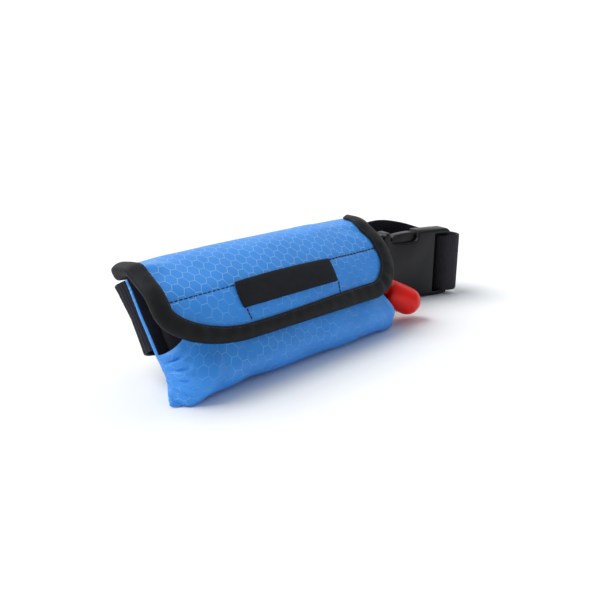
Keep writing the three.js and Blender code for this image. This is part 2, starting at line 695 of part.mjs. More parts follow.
function place(name, geometry, material) {
  const mesh = new THREE.Mesh(geometry, material);
  mesh.name = name;
  pack.add(mesh);
  return mesh;
}

place("back_panel", backPanel(), finish.blueCloth);
place("front_pocket", frontPocket(), finish.blueCloth);
place("flap", flap(), finish.blueCloth);
place("flap_binding", flapBinding(), finish.blackTape);
place("label", label(), finish.blackTape);
place("packed_float", packedFloat(), finish.blackCover);
place("belt", belt(), finish.webbing);
place("belt_keeper", beltKeeper(), finish.webbing);

const knob = place("trigger_knob", triggerKnob(), finish.redRubber);
knob.position.copy(KNOB_CAP);
knob.quaternion.setFromUnitVectors(new THREE.Vector3(0, 1, 0), KNOB_AXIS);

for (const [name, geometry] of [
  ["buckle_socket", buckleSocket()],
  ["buckle_plug", bucklePlug()],
]) {
  const half = place(name, geometry, finish.blackPlastic);
  half.position.copy(BUCKLE_AT);
  half.rotation.z = BUCKLE_TURN;
}

// The origin is under the middle of the whole pack, on the surface that it rests on.
const box = new THREE.Box3().setFromObject(pack, true);
const middle = box.getCenter(new THREE.Vector3());
for (const mesh of pack.children) mesh.position.sub(new THREE.Vector3(middle.x, middle.y, box.min.z));

export default pack;
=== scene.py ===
"""Looks of an inflatable belt pack: a honeycomb cloth pouch on a webbing belt with a side-release buckle.

Pieces are modelled in the pouch's own frame, in millimetres: X runs along the pouch from its left end to the
buckle, Y away from its front and Z up. As they are laid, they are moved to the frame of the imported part, in
metres.
"""

import math

import bmesh
import bpy
import numpy as np
from bpy.props import FloatProperty, FloatVectorProperty, PointerProperty
from bpy.types import Operator, Panel, PropertyGroup
from mathutils import Matrix, Vector


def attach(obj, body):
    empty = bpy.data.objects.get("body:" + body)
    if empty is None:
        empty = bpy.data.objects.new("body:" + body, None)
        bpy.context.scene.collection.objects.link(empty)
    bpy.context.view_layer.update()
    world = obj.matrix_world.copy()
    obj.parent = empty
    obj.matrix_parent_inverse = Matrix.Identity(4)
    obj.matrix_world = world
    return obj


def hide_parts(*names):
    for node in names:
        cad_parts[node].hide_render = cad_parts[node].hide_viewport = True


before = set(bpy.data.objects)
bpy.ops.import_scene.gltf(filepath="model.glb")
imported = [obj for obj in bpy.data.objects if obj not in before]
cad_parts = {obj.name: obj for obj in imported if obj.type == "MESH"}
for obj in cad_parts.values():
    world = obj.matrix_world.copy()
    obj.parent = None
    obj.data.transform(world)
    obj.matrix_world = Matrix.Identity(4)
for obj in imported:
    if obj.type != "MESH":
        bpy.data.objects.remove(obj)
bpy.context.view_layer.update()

bl_info = {
    "name": "Belt Pack",
    "version": (1, 0, 0),
    "blender": (4, 5, 0),
    "location": "View3D > Sidebar > Belt Pack",
    "description": "Models the cloth, tape, webbing and mouldings of an inflatable belt pack",
    "category": "Mesh",
}

MM = 0.001
ORIGIN = np.array((118.06, 28.90, -0.08))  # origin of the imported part, in the pouch's own frame
CLOTH_UV = "Cloth"  # UV map in millimetres of flat cloth

# Sizes, in millimetres

POUCH_LEFT = 0.8
POUCH_RIGHT = 151.0
POUCH_MIDDLE = (POUCH_LEFT + POUCH_RIGHT) / 2
POUCH_HALF = (POUCH_RIGHT - POUCH_LEFT) / 2
PANEL_INSET = 1.2
PANEL_BULGE = 5.0
PANEL_SEAM = {"reach": 15.0, "behind": 1.5, "free_from": 0.6}  # where it is drawn to the pocket's seams

# The pocket's bottom edge lies back round one place along X, up to a share of its height
POCKET_TUCK = {"depth": 3.6, "at": 42.0, "reach": 25.0, "from": 0.10, "fade": 0.32}
GATHER = {"depth": 0.7, "reach": 7.5, "count": 3.5}  # puckers along its side seams
SCALLOP = {"depth": 0.4, "count": 4.3, "phase": 0.9}  # waves of its left edge

# Ends of the pocket. A pair is for its bottom and for its hem.
LEFT_END = {
    "rounding": (5.0, 24.0),
    "power": (2.6, 1.6),
    "hem_share": 0.64,
    "hem_reach": 21.0,
    "hem_bend": 0.75,
}
LEFT_TOE = {"out": 9.0, "down": 1.5, "side": 3.5, "reach": 10.5}
RIGHT_END = {
    "rounding": (3.5, 16.0),
    "power": (2.6, 1.9),
    "hem_share": 0.33,
    "hem_reach": 26.0,
    "hem_bend": 1.35,
}
RIGHT_TOE = {"out": 10.0, "down": 1.5, "side": -2.5, "reach": 20.0}

FLAP_LEFT = -5.2
FLAP_RIGHT = 149.0
FLAP_DROOP = {"fall": 1.0, "reach": 24.0, "from": 10.0, "to": 34.0}
FLAP_RISE = {"lift": 1.8, "crown": 0.9, "from": 26.0, "to": 44.0}
LEFT_CORNER = {"along": 44.0, "down": 20.5}
RIGHT_CORNER = {"along": 24.0, "down": 20.0}
LEFT_BACK = {"along": 12.0, "down": 16.0}
RIGHT_BACK = {"along": 11.0, "down": 19.0}
RIGHT_DENT = {"depth": 1.6, "at": 30.0, "reach": 5.5}  # shallow dip of its right edge beside the back corner
TAPE_WIDTH = {"left": 6.8, "hem": 5.4, "far_hem": 7.3, "right": 9.8}
TAPE_WIDENS = {"from": 45.0, "over": 75.0}  # where the hem's tape goes from its first width to the far one
TAPE_START = {"left": 10.0, "right": 14.0}
TAPE_MAP = 16.0  # width of the tape on its UV map
TAPE_FOLD = 0.22  # share of the tape that goes round the edge
TAPE_GAP = 0.18
TAPE_END = {"rounding": 3.2, "thick": 9.0}
TAPE_WAVE = {"height": 0.10, "length": 7.5, "wander": 17.0}
TAPE_KINK = {"at": 25.0, "width": 2.2, "depth": 0.55, "from": 8.0, "fade": 10.0}
TAPE_SEAM = {"inset": 1.1, "end": 4.0}  # thread along the tape

LABEL = {"left": 37.4, "length": 63.5, "top": 43.4, "height": 12.4, "tilt": 0.8, "cloth": 0.8}
LABEL_BOW = {"left": 0.9, "top": 0.8}  # how far its left and top edges curve out
LABEL_RIM = {"rise": 0.30, "width": 1.6}
LABEL_ROOM = 3.0  # how far its stiffness reaches past its ends

KEEPER = {"left": 74.0, "right": 108.0, "length": 64.0, "sewn": (0.05, 0.09, 0.92, 0.96)}
KEEPER_FOLD = {"near": 0.6, "far": 2.4}

BUCKLE_MIDDLE = 22.9
BUCKLE_TURN = math.radians(-19)
BUCKLE_AT = (209.7, 23.0)
SOCKET_DROP = 0.9  # how far the webbing hangs in the socket

# Edges of the solid buckle's side windows and press pads, as (along, height over its middle), and the squarer
# edges that they are moved to. reach is how far from an edge the points move with it.
WINDOW_CURVE = ((-25.0, 22.9), (-22.0, 7.95), (-2.0, 7.95), (1.0, 22.9))
WINDOW_EDGE = {"left": -25.0, "right": -2.8, "base": 22.9, "rise": -7.4, "tilt": 0.0, "reach": 2.2}
PAD_CURVE = ((-22.3, 18.2), (-16.3, 22.2), (-6.3, 21.4), (-1.9, 18.0))
PAD_EDGE = {"left": -22.3, "right": -4.0, "base": 17.4, "rise": 4.2, "tilt": 0.8, "reach": 1.0}
EDGE_ROOM = 1.6  # how far past the ends of an edge the points still move

KNOB_CAP = (165.3, 2.5, 11.5)
KNOB_AXIS = (0.78, -0.43, -0.45)

# Outline of the knob behind its nose: share of its radius and height, then radius and height of its neck
KNOB_RIM = ((1.0, -4.0), (0.985, -12.0), (0.95, -14.2), (0.86, -15.5), (0.72, -16.0))
KNOB_NECK = ((4.0, -16.0), (3.6, -16.6), (3.6, -31.0), (0.0, -31.0))

# Sections across the pouch, each row (y, z)

FLAP_ROWS = (
    (42.8, 47.4),
    (42.0, 52.6),
    (36.0, 57.2),
    (25.4, 56.6),
    (16.2, 52.0),
    (9.2, 46.3),
    (4.8, 40.2),
    (1.3, 34.0),
    (-1.8, 28.6),
    (-4.0, 24.0),
    (-5.4, 20.4),
)
FLAP_HEM_ROW = 9
POCKET_ROWS = (
    (11.2, 0.6),
    (4.0, 0.6),
    (-1.6, 2.0),
    (-5.6, 6.5),
    (-6.6, 12.0),
    (-4.6, 17.0),
    (-1.2, 22.5),
    (2.3, 28.5),
    (5.7, 35.0),
    (8.6, 40.0),
)
LEFT_SEAM_ROWS = ((3.0, 0.6), (9.6, 8.6), (16.2, 19.0))
RIGHT_SEAM_ROWS = ((8.4, 0.6), (9.4, 5.0), (10.6, 10.0))
PANEL_ROWS = ((12.0, 0.8), (13.4, 9.0), (18.0, 18.0), (27.8, 32.0), (36.0, 43.2), (40.6, 49.2))

# Middle line of the webbing, each row (x, y, z, lean). Rows at the buckle give (along, front, lean) in its own
# frame. lean is the angle in degrees by which the top of the webbing lies further back.

BELT_AT_PLUG = (
    (-66, -3.6, 0),
    (-56, -1.6, 0),
    (-47, -0.9, 0),
    (-42.4, -2.2, 0),
    (-41.2, -6.0, 0),
    (-42.2, -9.6, 0),
    (-46, -11.3, 0),
    (-52, -11.3, 2),
)
BELT_LOOP = (
    (148, 48.6, 24.0, 8),
    (128, 40.0, 23.4, 20),
    (108, 33.4, 22.6, 32),
    (75, 32.0, 23.6, 36),
    (40, 34.8, 27.6, 37),
    (16, 37.0, 30.8, 38),
    (9.2, 37.6, 31.2, 38),
    (5.4, 41.8, 28.9, 38),
    (9.2, 46.2, 25.9, 37),
    (16, 48.0, 24.8, 35),
    (36, 52.0, 22.8, 26),
    (66, 56.6, 20.0, 12),
    (105, 59.8, 20.4, 2),
    (150, 61.8, 23.0, 0),
    (188, 63.6, 27.0, 0),
    (216, 63.6, 28.4, 0),
    (234, 57.4, 25.2, 0),
    (241.5, 46.0, 21.8, 0),
    (242.6, 34.0, 21.4, 0),
)
BELT_AT_SOCKET = (
    (31.8, -10.0, 0),
    (31.4, -2.4, 0),
    (26.4, 1.7, 0),
    (20.4, 1.3, 0),
    (16.6, -3.0, 0),
    (15.0, -9.4, 0),
    (10.4, -13.8, 0),
    (4.0, -14.8, 0),
    (-12, -14.8, 0),
)

# Folds. Ripples: length of a wave, its angle to X in degrees, its height and its phase.
# Creases: where a fold starts and ends, how wide it is, and its height, which is below 0 for a dent.

FLAP_RIPPLES = (
    (47.0, 12.0, 0.20, 0.4),
    (29.0, 68.0, 0.16, 2.1),
    (18.0, -35.0, 0.10, 4.0),
    (11.0, 20.0, 0.05, 1.0),
)
FLAP_CREASES = (
    # x, s, x, s, width, height
    (-8, 24, 4, 25, 5.0, 1.90),
    (120, 27, 143, 33, 3.2, -0.40),
    (126, 34, 146, 41, 2.8, 0.35),
    (112, 24, 140, 25, 4.0, 0.35),
    (8, 38, 22, 56, 4.0, 0.35),
    (132, 48, 140, 58, 3.0, -0.35),
)
POCKET_RIPPLES = (
    (52.0, 8.0, 0.25, 0.9),
    (31.0, 40.0, 0.18, 3.0),
    (17.0, -50.0, 0.10, 0.2),
    (9.0, 75.0, 0.05, 2.0),
)
POCKET_CREASES = (
    # x, share of the height, x, share of the height, width, height
    (2, 0.95, 6, 0.91, 1.3, 1.1),
    (1, 0.87, 4, 0.85, 1.0, -1.2),
    (3, 0.80, 6, 0.78, 1.3, 1.3),
    (1, 0.73, 6, 0.70, 0.9, -1.6),
    (3, 0.66, 6, 0.60, 1.2, 1.0),
    (1, 0.58, 4, 0.58, 0.9, -1.1),
    (2, 0.48, 5, 0.46, 1.2, 0.9),
    (1, 0.40, 4, 0.41, 1.1, -0.7),
    (2, 0.28, 6, 0.27, 1.4, 0.8),
    (1, 0.17, 4, 0.15, 1.0, -1.6),
    (10, 0.92, 16, 0.70, 3.0, -0.5),
    (9, 0.30, 16, 0.52, 3.0, 0.5),
    (24, 0.80, 20, 0.38, 3.5, -0.7),
    (31, 0.85, 28, 0.30, 5.0, 0.6),
    (146, 0.85, 132, 0.50, 2.4, -0.6),
    (147, 0.55, 136, 0.36, 2.0, 0.5),
    (60, 0.42, 96, 0.37, 5.0, -0.5),
    (92, 0.62, 126, 0.52, 5.0, 0.4),
)

# Stitch lines on the flap: x and distance from the back seam

CROSS_STITCH = ((2.0, 46.2), (37.2, 45.3), (101.4, 43.8), (144.0, 43.4))
CORNER_STITCHES = (((39.0, 57.0), (39.6, 62.4)), ((101.6, 56.2), (99.8, 62.2)))
GROOVE = {"depth": 0.50, "wave": 0.10, "pitch": 2.5, "width": 1.1, "from": 1.0, "to": 145.0, "fade": 2.0}
HEM_PUCKER = {"height": 0.22, "length": 8.5, "inset": 6.0, "width": 5.0}
FOLDS_START = {"from": 8.0, "over": 10.0}  # distance from the back seam
LABEL_CALM = 0.7  # share of the folds that the label takes out of the cloth under it

# Stage, in the pouch's own frame for the camera and in metres for the lights

CAMERA_AT = (-133.1, -202.8, 118.2)
CAMERA_LOOK = (0.6812, 0.6741, -0.2857)
BACKDROP_SIDE = (0.60, 0.80, 0.0)  # direction of the pale side of the room
OVERHEAD = {"at": (-0.42, 0.56, 1.0), "aim": (0.0, 0.0, 0.0), "angle": 45.0}
LEFT_FILL = {"at": (-0.95, -0.30, 0.16), "aim": (0.0, 0.0, 0.03), "size": 0.3}


# Settings


def length_property(name, description, default):
    return FloatProperty(name=name, description=description, default=default, subtype="DISTANCE", unit="LENGTH")


def colour_property(name, description, default):
    return FloatVectorProperty(
        name=name, description=description, default=default, subtype="COLOR", size=3, min=0.0, max=1.0
    )


class PouchSettings(PropertyGroup):
    """Sizes of the cloth pieces."""

    flap_cloth: length_property("Flap cloth", "Thickness of the flap", 0.0015)
    pocket_cloth: length_property("Pocket cloth", "Thickness of the pocket", 0.0012)
    panel_cloth: length_property("Panel cloth", "Thickness of the back panel", 0.002)
    tape: length_property("Tape", "Thickness of the binding tape", 0.0009)
    tape_dome: length_property("Tape dome", "How far the tape's front bulges", 0.0008)
    stitch: length_property("Stitch", "Length of one stitch with its gap", 0.0025)
    thread: length_property("Thread", "Thickness of the thread", 0.00085)
    cell: length_property("Cell", "Width of a honeycomb cell across its flats", 0.0052)
    swell: FloatProperty(name="Swell", description="Pressure that fills the cover", default=4.0, min=0.0)


class BeltSettings(PropertyGroup):
    """Sizes of the webbing and the buckle."""

    width: length_property("Width", "Width of the webbing", 0.038)
    thickness: length_property("Thickness", "Thickness of the webbing", 0.0018)
    rib: length_property("Rib", "Distance between the webbing's ribs", 0.0013)
    rib_height: length_property("Rib height", "Height of the ribs", 0.00016)
    keeper: length_property("Keeper", "Thickness of the keeper band", 0.0014)
    edge: length_property("Buckle edge", "Rounding of the buckle's edges", 0.0005)
    knob: length_property("Knob", "Radius of the pull knob", 0.0083)


class FinishSettings(PropertyGroup):
    """Colours of the finishes."""

    cloth: colour_property("Cloth", "Blue of the pouch cloth", (0.046, 0.285, 0.800))
    grid: colour_property("Grid", "Pale blue of the honeycomb threads", (0.330, 0.680, 1.000))
    tape: colour_property("Tape", "Black of the binding tape", (0.0072, 0.0075, 0.0085))
    label: colour_property("Label", "Black of the woven label", (0.0075, 0.0082, 0.0105))
    cover: colour_property("Cover", "Black of the float's cover", (0.006, 0.006, 0.008))
    webbing: colour_property("Webbing", "Black of the webbing", (0.0125, 0.0115, 0.0175))
    plastic: colour_property("Plastic", "Black of the buckle", (0.0066, 0.0066, 0.0075))
    rubber: colour_property("Rubber", "Red of the pull knob", (0.900, 0.010, 0.004))
    thread: colour_property("Thread", "Black of the thread", (0.008, 0.008, 0.010))


class StageSettings(PropertyGroup):
    """Floor, light and camera."""

    floor: colour_property("Floor", "Colour of the floor", (0.95, 0.95, 0.95))
    backdrop: FloatProperty(name="Backdrop", description="Light from behind the pack", default=1.02, min=0.0)
    room: FloatProperty(name="Room", description="Light from in front of the pack", default=0.29, min=0.0)
    key: FloatProperty(name="Key", description="Strength of the overhead light", default=2.40, min=0.0)
    fill: FloatProperty(name="Fill", description="Power of the light from the left", default=0.8, unit="POWER")
    lens: FloatProperty(
        name="Lens", description="Focal length", default=37.2, subtype="DISTANCE_CAMERA", unit="CAMERA"
    )


# Curves and surfaces


def smooth(value):
    """Smooth step from 0 to 1."""
    value = np.clip(value, 0.0, 1.0)
    return value * value * (3 - 2 * value)


def mix(a, b, share):
    return a + (b - a) * share


def to_row(points):
    """Points of the pouch's own frame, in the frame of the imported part."""
    return (np.asarray(points) - ORIGIN) * MM


def unit(vectors):
    return vectors / np.maximum(np.linalg.norm(vectors, axis=-1, keepdims=True), 1e-9)


class Polyline:
    """A line of points, measured along its length by all their columns or by the first ones."""

    def __init__(self, points, measured=None):
        self.points = np.array(points, float)
        spans = np.linalg.norm(np.diff(self.points[:, :measured], axis=0), axis=1)
        self.lengths = np.concatenate([[0.0], np.cumsum(spans)])
        self.length = self.lengths[-1]

    def at(self, length):
        """Points at distances along the line."""
        return np.stack([np.interp(length, self.lengths, column) for column in self.points.T], axis=-1)

    def tangent(self, length, step=1.5):
        return unit(self.at(np.minimum(length + step, self.length)) - self.at(np.maximum(length - step, 0)))


class Route(Polyline):
    """A smooth curve through rows of points."""

    def __init__(self, rows, steps=40, measured=None):
        rows = np.array(rows, float)
        p = np.concatenate([[2 * rows[0] - rows[1]], rows, [2 * rows[-1] - rows[-2]]])
        gaps = np.linalg.norm(np.diff(p[:, :measured], axis=0), axis=1) ** 0.5
        t = np.linspace(0, 1, steps, endpoint=False)[:, None]
        parts = []
        for i in range(len(rows) - 1):
            a, b, c, d = p[i : i + 4]
            g0, g1, g2 = gaps[i : i + 3]
            start = ((b - a) / g0 - (c - a) / (g0 + g1) + (c - b) / g1) * g1
            end = ((c - b) / g1 - (d - b) / (g1 + g2) + (d - c) / g2) * g1
            cubic = 2 * b - 2 * c + start + end
            square = -3 * b + 3 * c - 2 * start - end
            parts.append(cubic * t**3 + square * t**2 + start * t + b)
        super().__init__(np.concatenate([*parts, rows[-1:]]), measured)
        self.steps = steps

    def length_to(self, index):
        """Distance along the curve to one of its rows."""
        return self.lengths[index * self.steps]


FLAP = Route(FLAP_ROWS)
FLAP_LENGTH = FLAP.length_to(FLAP_HEM_ROW)
POCKET = Route(POCKET_ROWS)
LEFT_SEAM = Route(LEFT_SEAM_ROWS)
RIGHT_SEAM = Route(RIGHT_SEAM_ROWS)
PANEL = Route(PANEL_ROWS)


def ripple(a, b, table):
    """Low waves over a piece of cloth."""
    total = np.zeros_like(a)
    for length, angle, height, phase in table:
        turn = math.radians(angle)
        total += height * np.sin(2 * math.pi * (a * math.cos(turn) + b * math.sin(turn)) / length + phase)
    return total


def crease(a, b, table, stretch=1.0):
    """Folds along short lines, which fade out at their ends. stretch turns b into millimetres."""
    total = np.zeros_like(a)
    for a0, b0, a1, b1, width, height in table:
        da, db = a1 - a0, (b1 - b0) * stretch
        pa, pb = a - a0, (b - b0) * stretch
        length = math.hypot(da, db)
        along = (pa * da + pb * db) / length**2
        off = (pa * db - pb * da) / length
        past = np.maximum(np.abs(along - 0.5) - 0.5, 0) * length
        total += height * np.exp(-(np.abs(off / width) ** 1.5) - (past / (1.5 * width)) ** 2)
    return total


def panel_at(x, v):
    """Middle surface of the back panel. v runs from its bottom up."""
    length = v * PANEL.length
    point, rise = PANEL.at(length), PANEL.tangent(length, 0.002 * PANEL.length)
    from_middle = np.minimum(np.abs(x - POUCH_MIDDLE) / POUCH_HALF, 1)
    bulge = PANEL_BULGE * (1 - from_middle**4) * np.sin(math.pi * v)
    y, z = point[..., 0] + bulge * rise[..., 1], point[..., 1] - bulge * rise[..., 0]
    return np.stack([x, y, z], axis=-1)


def fill(from_end, rounding, power):
    """How far a filled piece has swollen at a distance from its end: from 0 to 1."""
    rest = 1 - np.clip(from_end / rounding, 0, 1)
    return (1 - rest**power) ** (1 / power)


def pocket_at(x, v):
    """Middle surface of the pocket. v runs from the bottom seam up to the open hem."""
    is_left = x < POUCH_MIDDLE

    def end(key, index=None):
        left, right = (e[key] if index is None else e[key][index] for e in (LEFT_END, RIGHT_END))
        return np.where(is_left, left, right)

    def toe(key):
        return np.where(is_left, LEFT_TOE[key], RIGHT_TOE[key])

    from_seam = np.where(is_left, x - POUCH_LEFT, POUCH_RIGHT - x)
    hem = mix(end("hem_share"), 1, np.clip(from_seam / end("hem_reach"), 0, 1) ** end("hem_bend"))
    full = POCKET.at(v * hem * POCKET.length)
    left, right = LEFT_SEAM.at(v * LEFT_SEAM.length), RIGHT_SEAM.at(v * RIGHT_SEAM.length)
    seam = np.where(is_left[..., None], left, right)
    rounding = mix(end("rounding", 0), end("rounding", 1), smooth(v))
    share = fill(from_seam, rounding, mix(end("power", 0), end("power", 1), v))
    fade = np.maximum(0, 1 - from_seam / GATHER["reach"]) * np.sin(math.pi * share)
    ruffle = GATHER["depth"] * fade * np.sin(2 * math.pi * GATHER["count"] * v)
    at_toe = (1 - smooth(from_seam / toe("reach"))) * (1 - smooth(2 * v))
    point = seam + (full - seam) * share[..., None]
    tuck = POCKET_TUCK["depth"] * np.exp(-(((x - POCKET_TUCK["at"]) / POCKET_TUCK["reach"]) ** 2))
    tuck *= 1 - smooth((v - POCKET_TUCK["from"]) / POCKET_TUCK["fade"])
    y = point[..., 0] - ruffle + (tuck - toe("out") * at_toe) * share
    z = point[..., 1] - toe("down") * at_toe * share
    scallop = SCALLOP["depth"] * np.sin(2 * math.pi * SCALLOP["count"] * v + SCALLOP["phase"])
    return np.stack([x - (toe("side") * at_toe + scallop * is_left) * (1 - share), y, z], axis=-1)


def flap_at(x, s):
    """Middle surface of the flap. s is the distance from the back seam."""
    point = FLAP.at(np.clip(s, 0, FLAP.length))
    at_end = 1 - smooth((x - FLAP_LEFT) / FLAP_DROOP["reach"])
    start, stop = FLAP_DROOP["from"], FLAP_DROOP["to"]
    droop = FLAP_DROOP["fall"] * at_end * smooth(s / start) * (1 - smooth((s - start) / (stop - start)))
    on_top = smooth(s / start) * (1 - smooth((s - FLAP_RISE["from"]) / (FLAP_RISE["to"] - FLAP_RISE["from"])))
    off_middle = (x - POUCH_MIDDLE) / POUCH_HALF
    rise = on_top * (FLAP_RISE["lift"] * off_middle + FLAP_RISE["crown"] * (1 - off_middle**2))
    return np.stack([x, point[..., 0] - droop / 2, point[..., 1] - droop + rise], axis=-1)


def outward(at, a, b, step_a, step_b, limit=1e9):
    """Unit normal of a surface, on the side towards which its second value runs round to its first."""
    along = at(a + step_a, b) - at(a - step_a, b)
    across = at(a, np.minimum(b + step_b, limit)) - at(a, np.maximum(b - step_b, 0))
    return unit(np.cross(across, along))


def flap_out(x, s):
    return outward(flap_at, x, s, 0.2, 0.2)


def stitch_row(x):
    """Distance from the back seam of the stitch line that crosses the flap."""
    return np.interp(x, *np.array(CROSS_STITCH).T)


def flap_cloth(x, s, lift=0.0):
    """The flap's cloth with its folds and the groove of the stitch line, lifted off its middle."""
    shown = smooth((s - FOLDS_START["from"]) / FOLDS_START["over"])
    past_left, past_right = x - LABEL["left"], LABEL["left"] + LABEL["length"] - x
    at_label = smooth((past_left + LABEL_ROOM) / LABEL_ROOM) * smooth((past_right + LABEL_ROOM) / LABEL_ROOM)
    sewn = smooth((x - GROOVE["from"]) / GROOVE["fade"]) * smooth((GROOVE["to"] - x) / GROOVE["fade"])
    depth = GROOVE["depth"] + GROOVE["wave"] * np.cos(2 * math.pi * x / GROOVE["pitch"])
    groove = depth * np.exp(-(((s - stitch_row(x)) / GROOVE["width"]) ** 2)) * sewn * (1 - at_label)
    near_hem = np.exp(-(((FLAP_LENGTH - HEM_PUCKER["inset"] - s) / HEM_PUCKER["width"]) ** 2))
    pucker = HEM_PUCKER["height"] * np.sin(2 * math.pi * x / HEM_PUCKER["length"]) * near_hem
    folds = ripple(x, s, FLAP_RIPPLES) + crease(x, s, FLAP_CREASES) + pucker
    push = folds * (1 - LABEL_CALM * at_label) * shown - groove + lift
    return flap_at(x, s) + flap_out(x, s) * push[..., None]


def flap_limits(s):
    """Left and right limits of the flap at a distance from the back seam."""

    def cut(corner):
        into = np.maximum(0, s - (FLAP_LENGTH - corner["down"])) / corner["down"]
        return corner["along"] * (1 - np.sqrt(np.maximum(0, 1 - into**2)))

    def back_cut(corner):
        into = np.maximum(0, 1 - s / corner["down"])
        return corner["along"] * (1 - np.sqrt(1 - into**2))

    dent = RIGHT_DENT["depth"] * np.exp(-(((s - RIGHT_DENT["at"]) / RIGHT_DENT["reach"]) ** 2))
    left = FLAP_LEFT + cut(LEFT_CORNER) + back_cut(LEFT_BACK)
    return left, FLAP_RIGHT - cut(RIGHT_CORNER) - back_cut(RIGHT_BACK) - dent


def flap_edge():
    """The flap's free edge in x and s, from its left back end round to its right back end."""
    quarter = np.linspace(0, math.pi / 2, 40)
    left, right = LEFT_CORNER, RIGHT_CORNER
    left_turn = [
        FLAP_LEFT + left["along"] * (1 - np.cos(quarter)),
        FLAP_LENGTH - left["down"] * (1 - np.sin(quarter)),
    ]
    right_turn = [
        FLAP_RIGHT - right["along"] * (1 - np.sin(quarter)),
        FLAP_LENGTH - right["down"] * (1 - np.cos(quarter)),
    ]
    rise = np.linspace(TAPE_START["left"], LEFT_BACK["down"], 20)
    fall = np.linspace(FLAP_LENGTH - right["down"] - 1, TAPE_START["right"], 80)
    start, end = [flap_limits(rise)[0], rise], [flap_limits(fall)[1], fall]
    return np.concatenate([start, left_turn, right_turn, end], axis=1).T


EDGE = Polyline(flap_edge())


def tape_width(x):
    left = 1 - smooth((x - FLAP_LEFT) / LEFT_CORNER["along"])
    right = 1 - smooth((FLAP_RIGHT - x) / RIGHT_CORNER["along"])
    widened = smooth((x - TAPE_WIDENS["from"]) / TAPE_WIDENS["over"])
    hem = mix(TAPE_WIDTH["hem"], TAPE_WIDTH["far_hem"], widened)
    return TAPE_WIDTH["left"] * left + TAPE_WIDTH["right"] * right + hem * (1 - left - right)


def from_edge(length, inset):
    """Place on the flap, in x and s, at a distance along its edge and in from it."""
    spot, way = EDGE.at(length), EDGE.tangent(length)
    return spot[..., 0] + way[..., 1] * inset, spot[..., 1] - way[..., 0] * inset


def on_buckle(along, front):
    """Place in the pouch's frame of a place along the buckle and towards its front."""
    cos, sin = math.cos(BUCKLE_TURN), math.sin(BUCKLE_TURN)
    return BUCKLE_AT[0] + along * cos + front * sin, BUCKLE_AT[1] + along * sin - front * cos


def belt_rows():
    """All rows of the webbing's middle line in the pouch's frame, from its folded end to its tail."""
    at_buckle = lambda rows, up: [(*on_buckle(along, front), up, lean) for along, front, lean in rows]
    at_plug = at_buckle(BELT_AT_PLUG, BUCKLE_MIDDLE)
    at_socket = at_buckle(BELT_AT_SOCKET, BUCKLE_MIDDLE - SOCKET_DROP)
    return [*at_plug, *BELT_LOOP, *at_socket]


BELT = Route(belt_rows(), steps=60, measured=3)
LOOP_START = len(BELT_AT_PLUG)
BEND_ROW = LOOP_START + 7
KEEPER_ROWS = (LOOP_START, LOOP_START + 5)  # rows between which the keeper crosses the webbing
BEND = {"reach": 12.0, "cup": 1.4, "narrower": 0.07}


def belt_frame(length):
    """Middle of the webbing, its upward direction and the direction out of its face, at distances along it."""
    here = BELT.at(length)
    lean = np.radians(here[..., 3])
    up = np.stack([np.zeros_like(lean), np.sin(lean), np.cos(lean)], axis=-1)
    way = BELT.tangent(length, 0.4)[..., :3]
    return here[..., :3], up, unit(np.cross(way, up))


# Modelling


def lay_grid(columns, rows, at, flat=None, flip=False):
    """A grid of faces laid on the surface at(u, v), with flat(u, v) or its own lengths as UV map, in mm."""
    bm = bmesh.new()
    layer = bm.loops.layers.uv.new(CLOTH_UV)
    bmesh.ops.create_grid(bm, x_segments=columns, y_segments=rows, size=0.5)
    bm.verts.index_update()
    u, v = np.clip(np.array([vert.co[:2] for vert in bm.verts]).T + 0.5, 0, 1)
    places = at(u, v)
    if flat:
        cloth = flat(u, v)
    else:
        column, row = np.rint(u * columns).astype(int), np.rint(v * rows).astype(int)
        cloth = measured_map(places, column, row)
    for vert, place in zip(bm.verts, to_row(places)):
        vert.co = place
    for face in bm.faces:
        for loop in face.loops:
            loop[layer].uv = cloth[loop.vert.index]
    if flip:
        bmesh.ops.reverse_faces(bm, faces=bm.faces)
    return bm


def measured_map(places, column, row):
    """Millimetres along each row of a grid, from its middle column, and up its middle column."""
    grid = np.zeros((row.max() + 1, column.max() + 1, 3))
    grid[row, column] = places
    middle = grid.shape[1] // 2
    along = np.zeros(grid.shape[:2])
    along[:, 1:] = np.cumsum(np.linalg.norm(np.diff(grid, axis=1), axis=2), axis=1)
    along -= along[:, middle : middle + 1]
    up = np.zeros(grid.shape[0])
    up[1:] = np.cumsum(np.linalg.norm(np.diff(grid[:, middle], axis=0), axis=1))
    return np.stack([along[row, column], up[row]], axis=-1)


def add_piece(name, bm, material, slot, *nodes):
    """Makes an object of a bmesh, which rides on the part and stands for its nodes."""
    mesh = bpy.data.meshes.new(name)
    bm.to_mesh(mesh)
    bm.free()
    mesh.shade_smooth()
    mesh.materials.append(material)
    piece = bpy.data.objects.new(name, mesh)
    bpy.context.scene.collection.objects.link(piece)
    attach(piece, "root")
    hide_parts(*nodes)
    return piece


def thicken(piece, thickness, levels=1, inner_slot=0, crisp=0.0):
    """Gives a sheet its thickness and rounds its grid."""
    wall = piece.modifiers.new("Wall", "SOLIDIFY")
    wall.thickness = thickness
    wall.offset = 0.0
    wall.material_offset = inner_slot
    wall.edge_crease_outer = crisp
    wall.edge_crease_inner = crisp
    soften(piece, levels)


def soften(piece, levels=1):
    rounded = piece.modifiers.new("Rounded", "SUBSURF")
    rounded.levels = levels
    rounded.render_levels = levels


def bake_modifiers(piece):
    """Makes the shape that the modifiers give the mesh itself."""
    graph = bpy.context.evaluated_depsgraph_get()
    mesh = bpy.data.meshes.new_from_object(piece.evaluated_get(graph))
    piece.modifiers.clear()
    old, piece.data = piece.data, mesh
    mesh.name = piece.name
    bpy.data.meshes.remove(old)


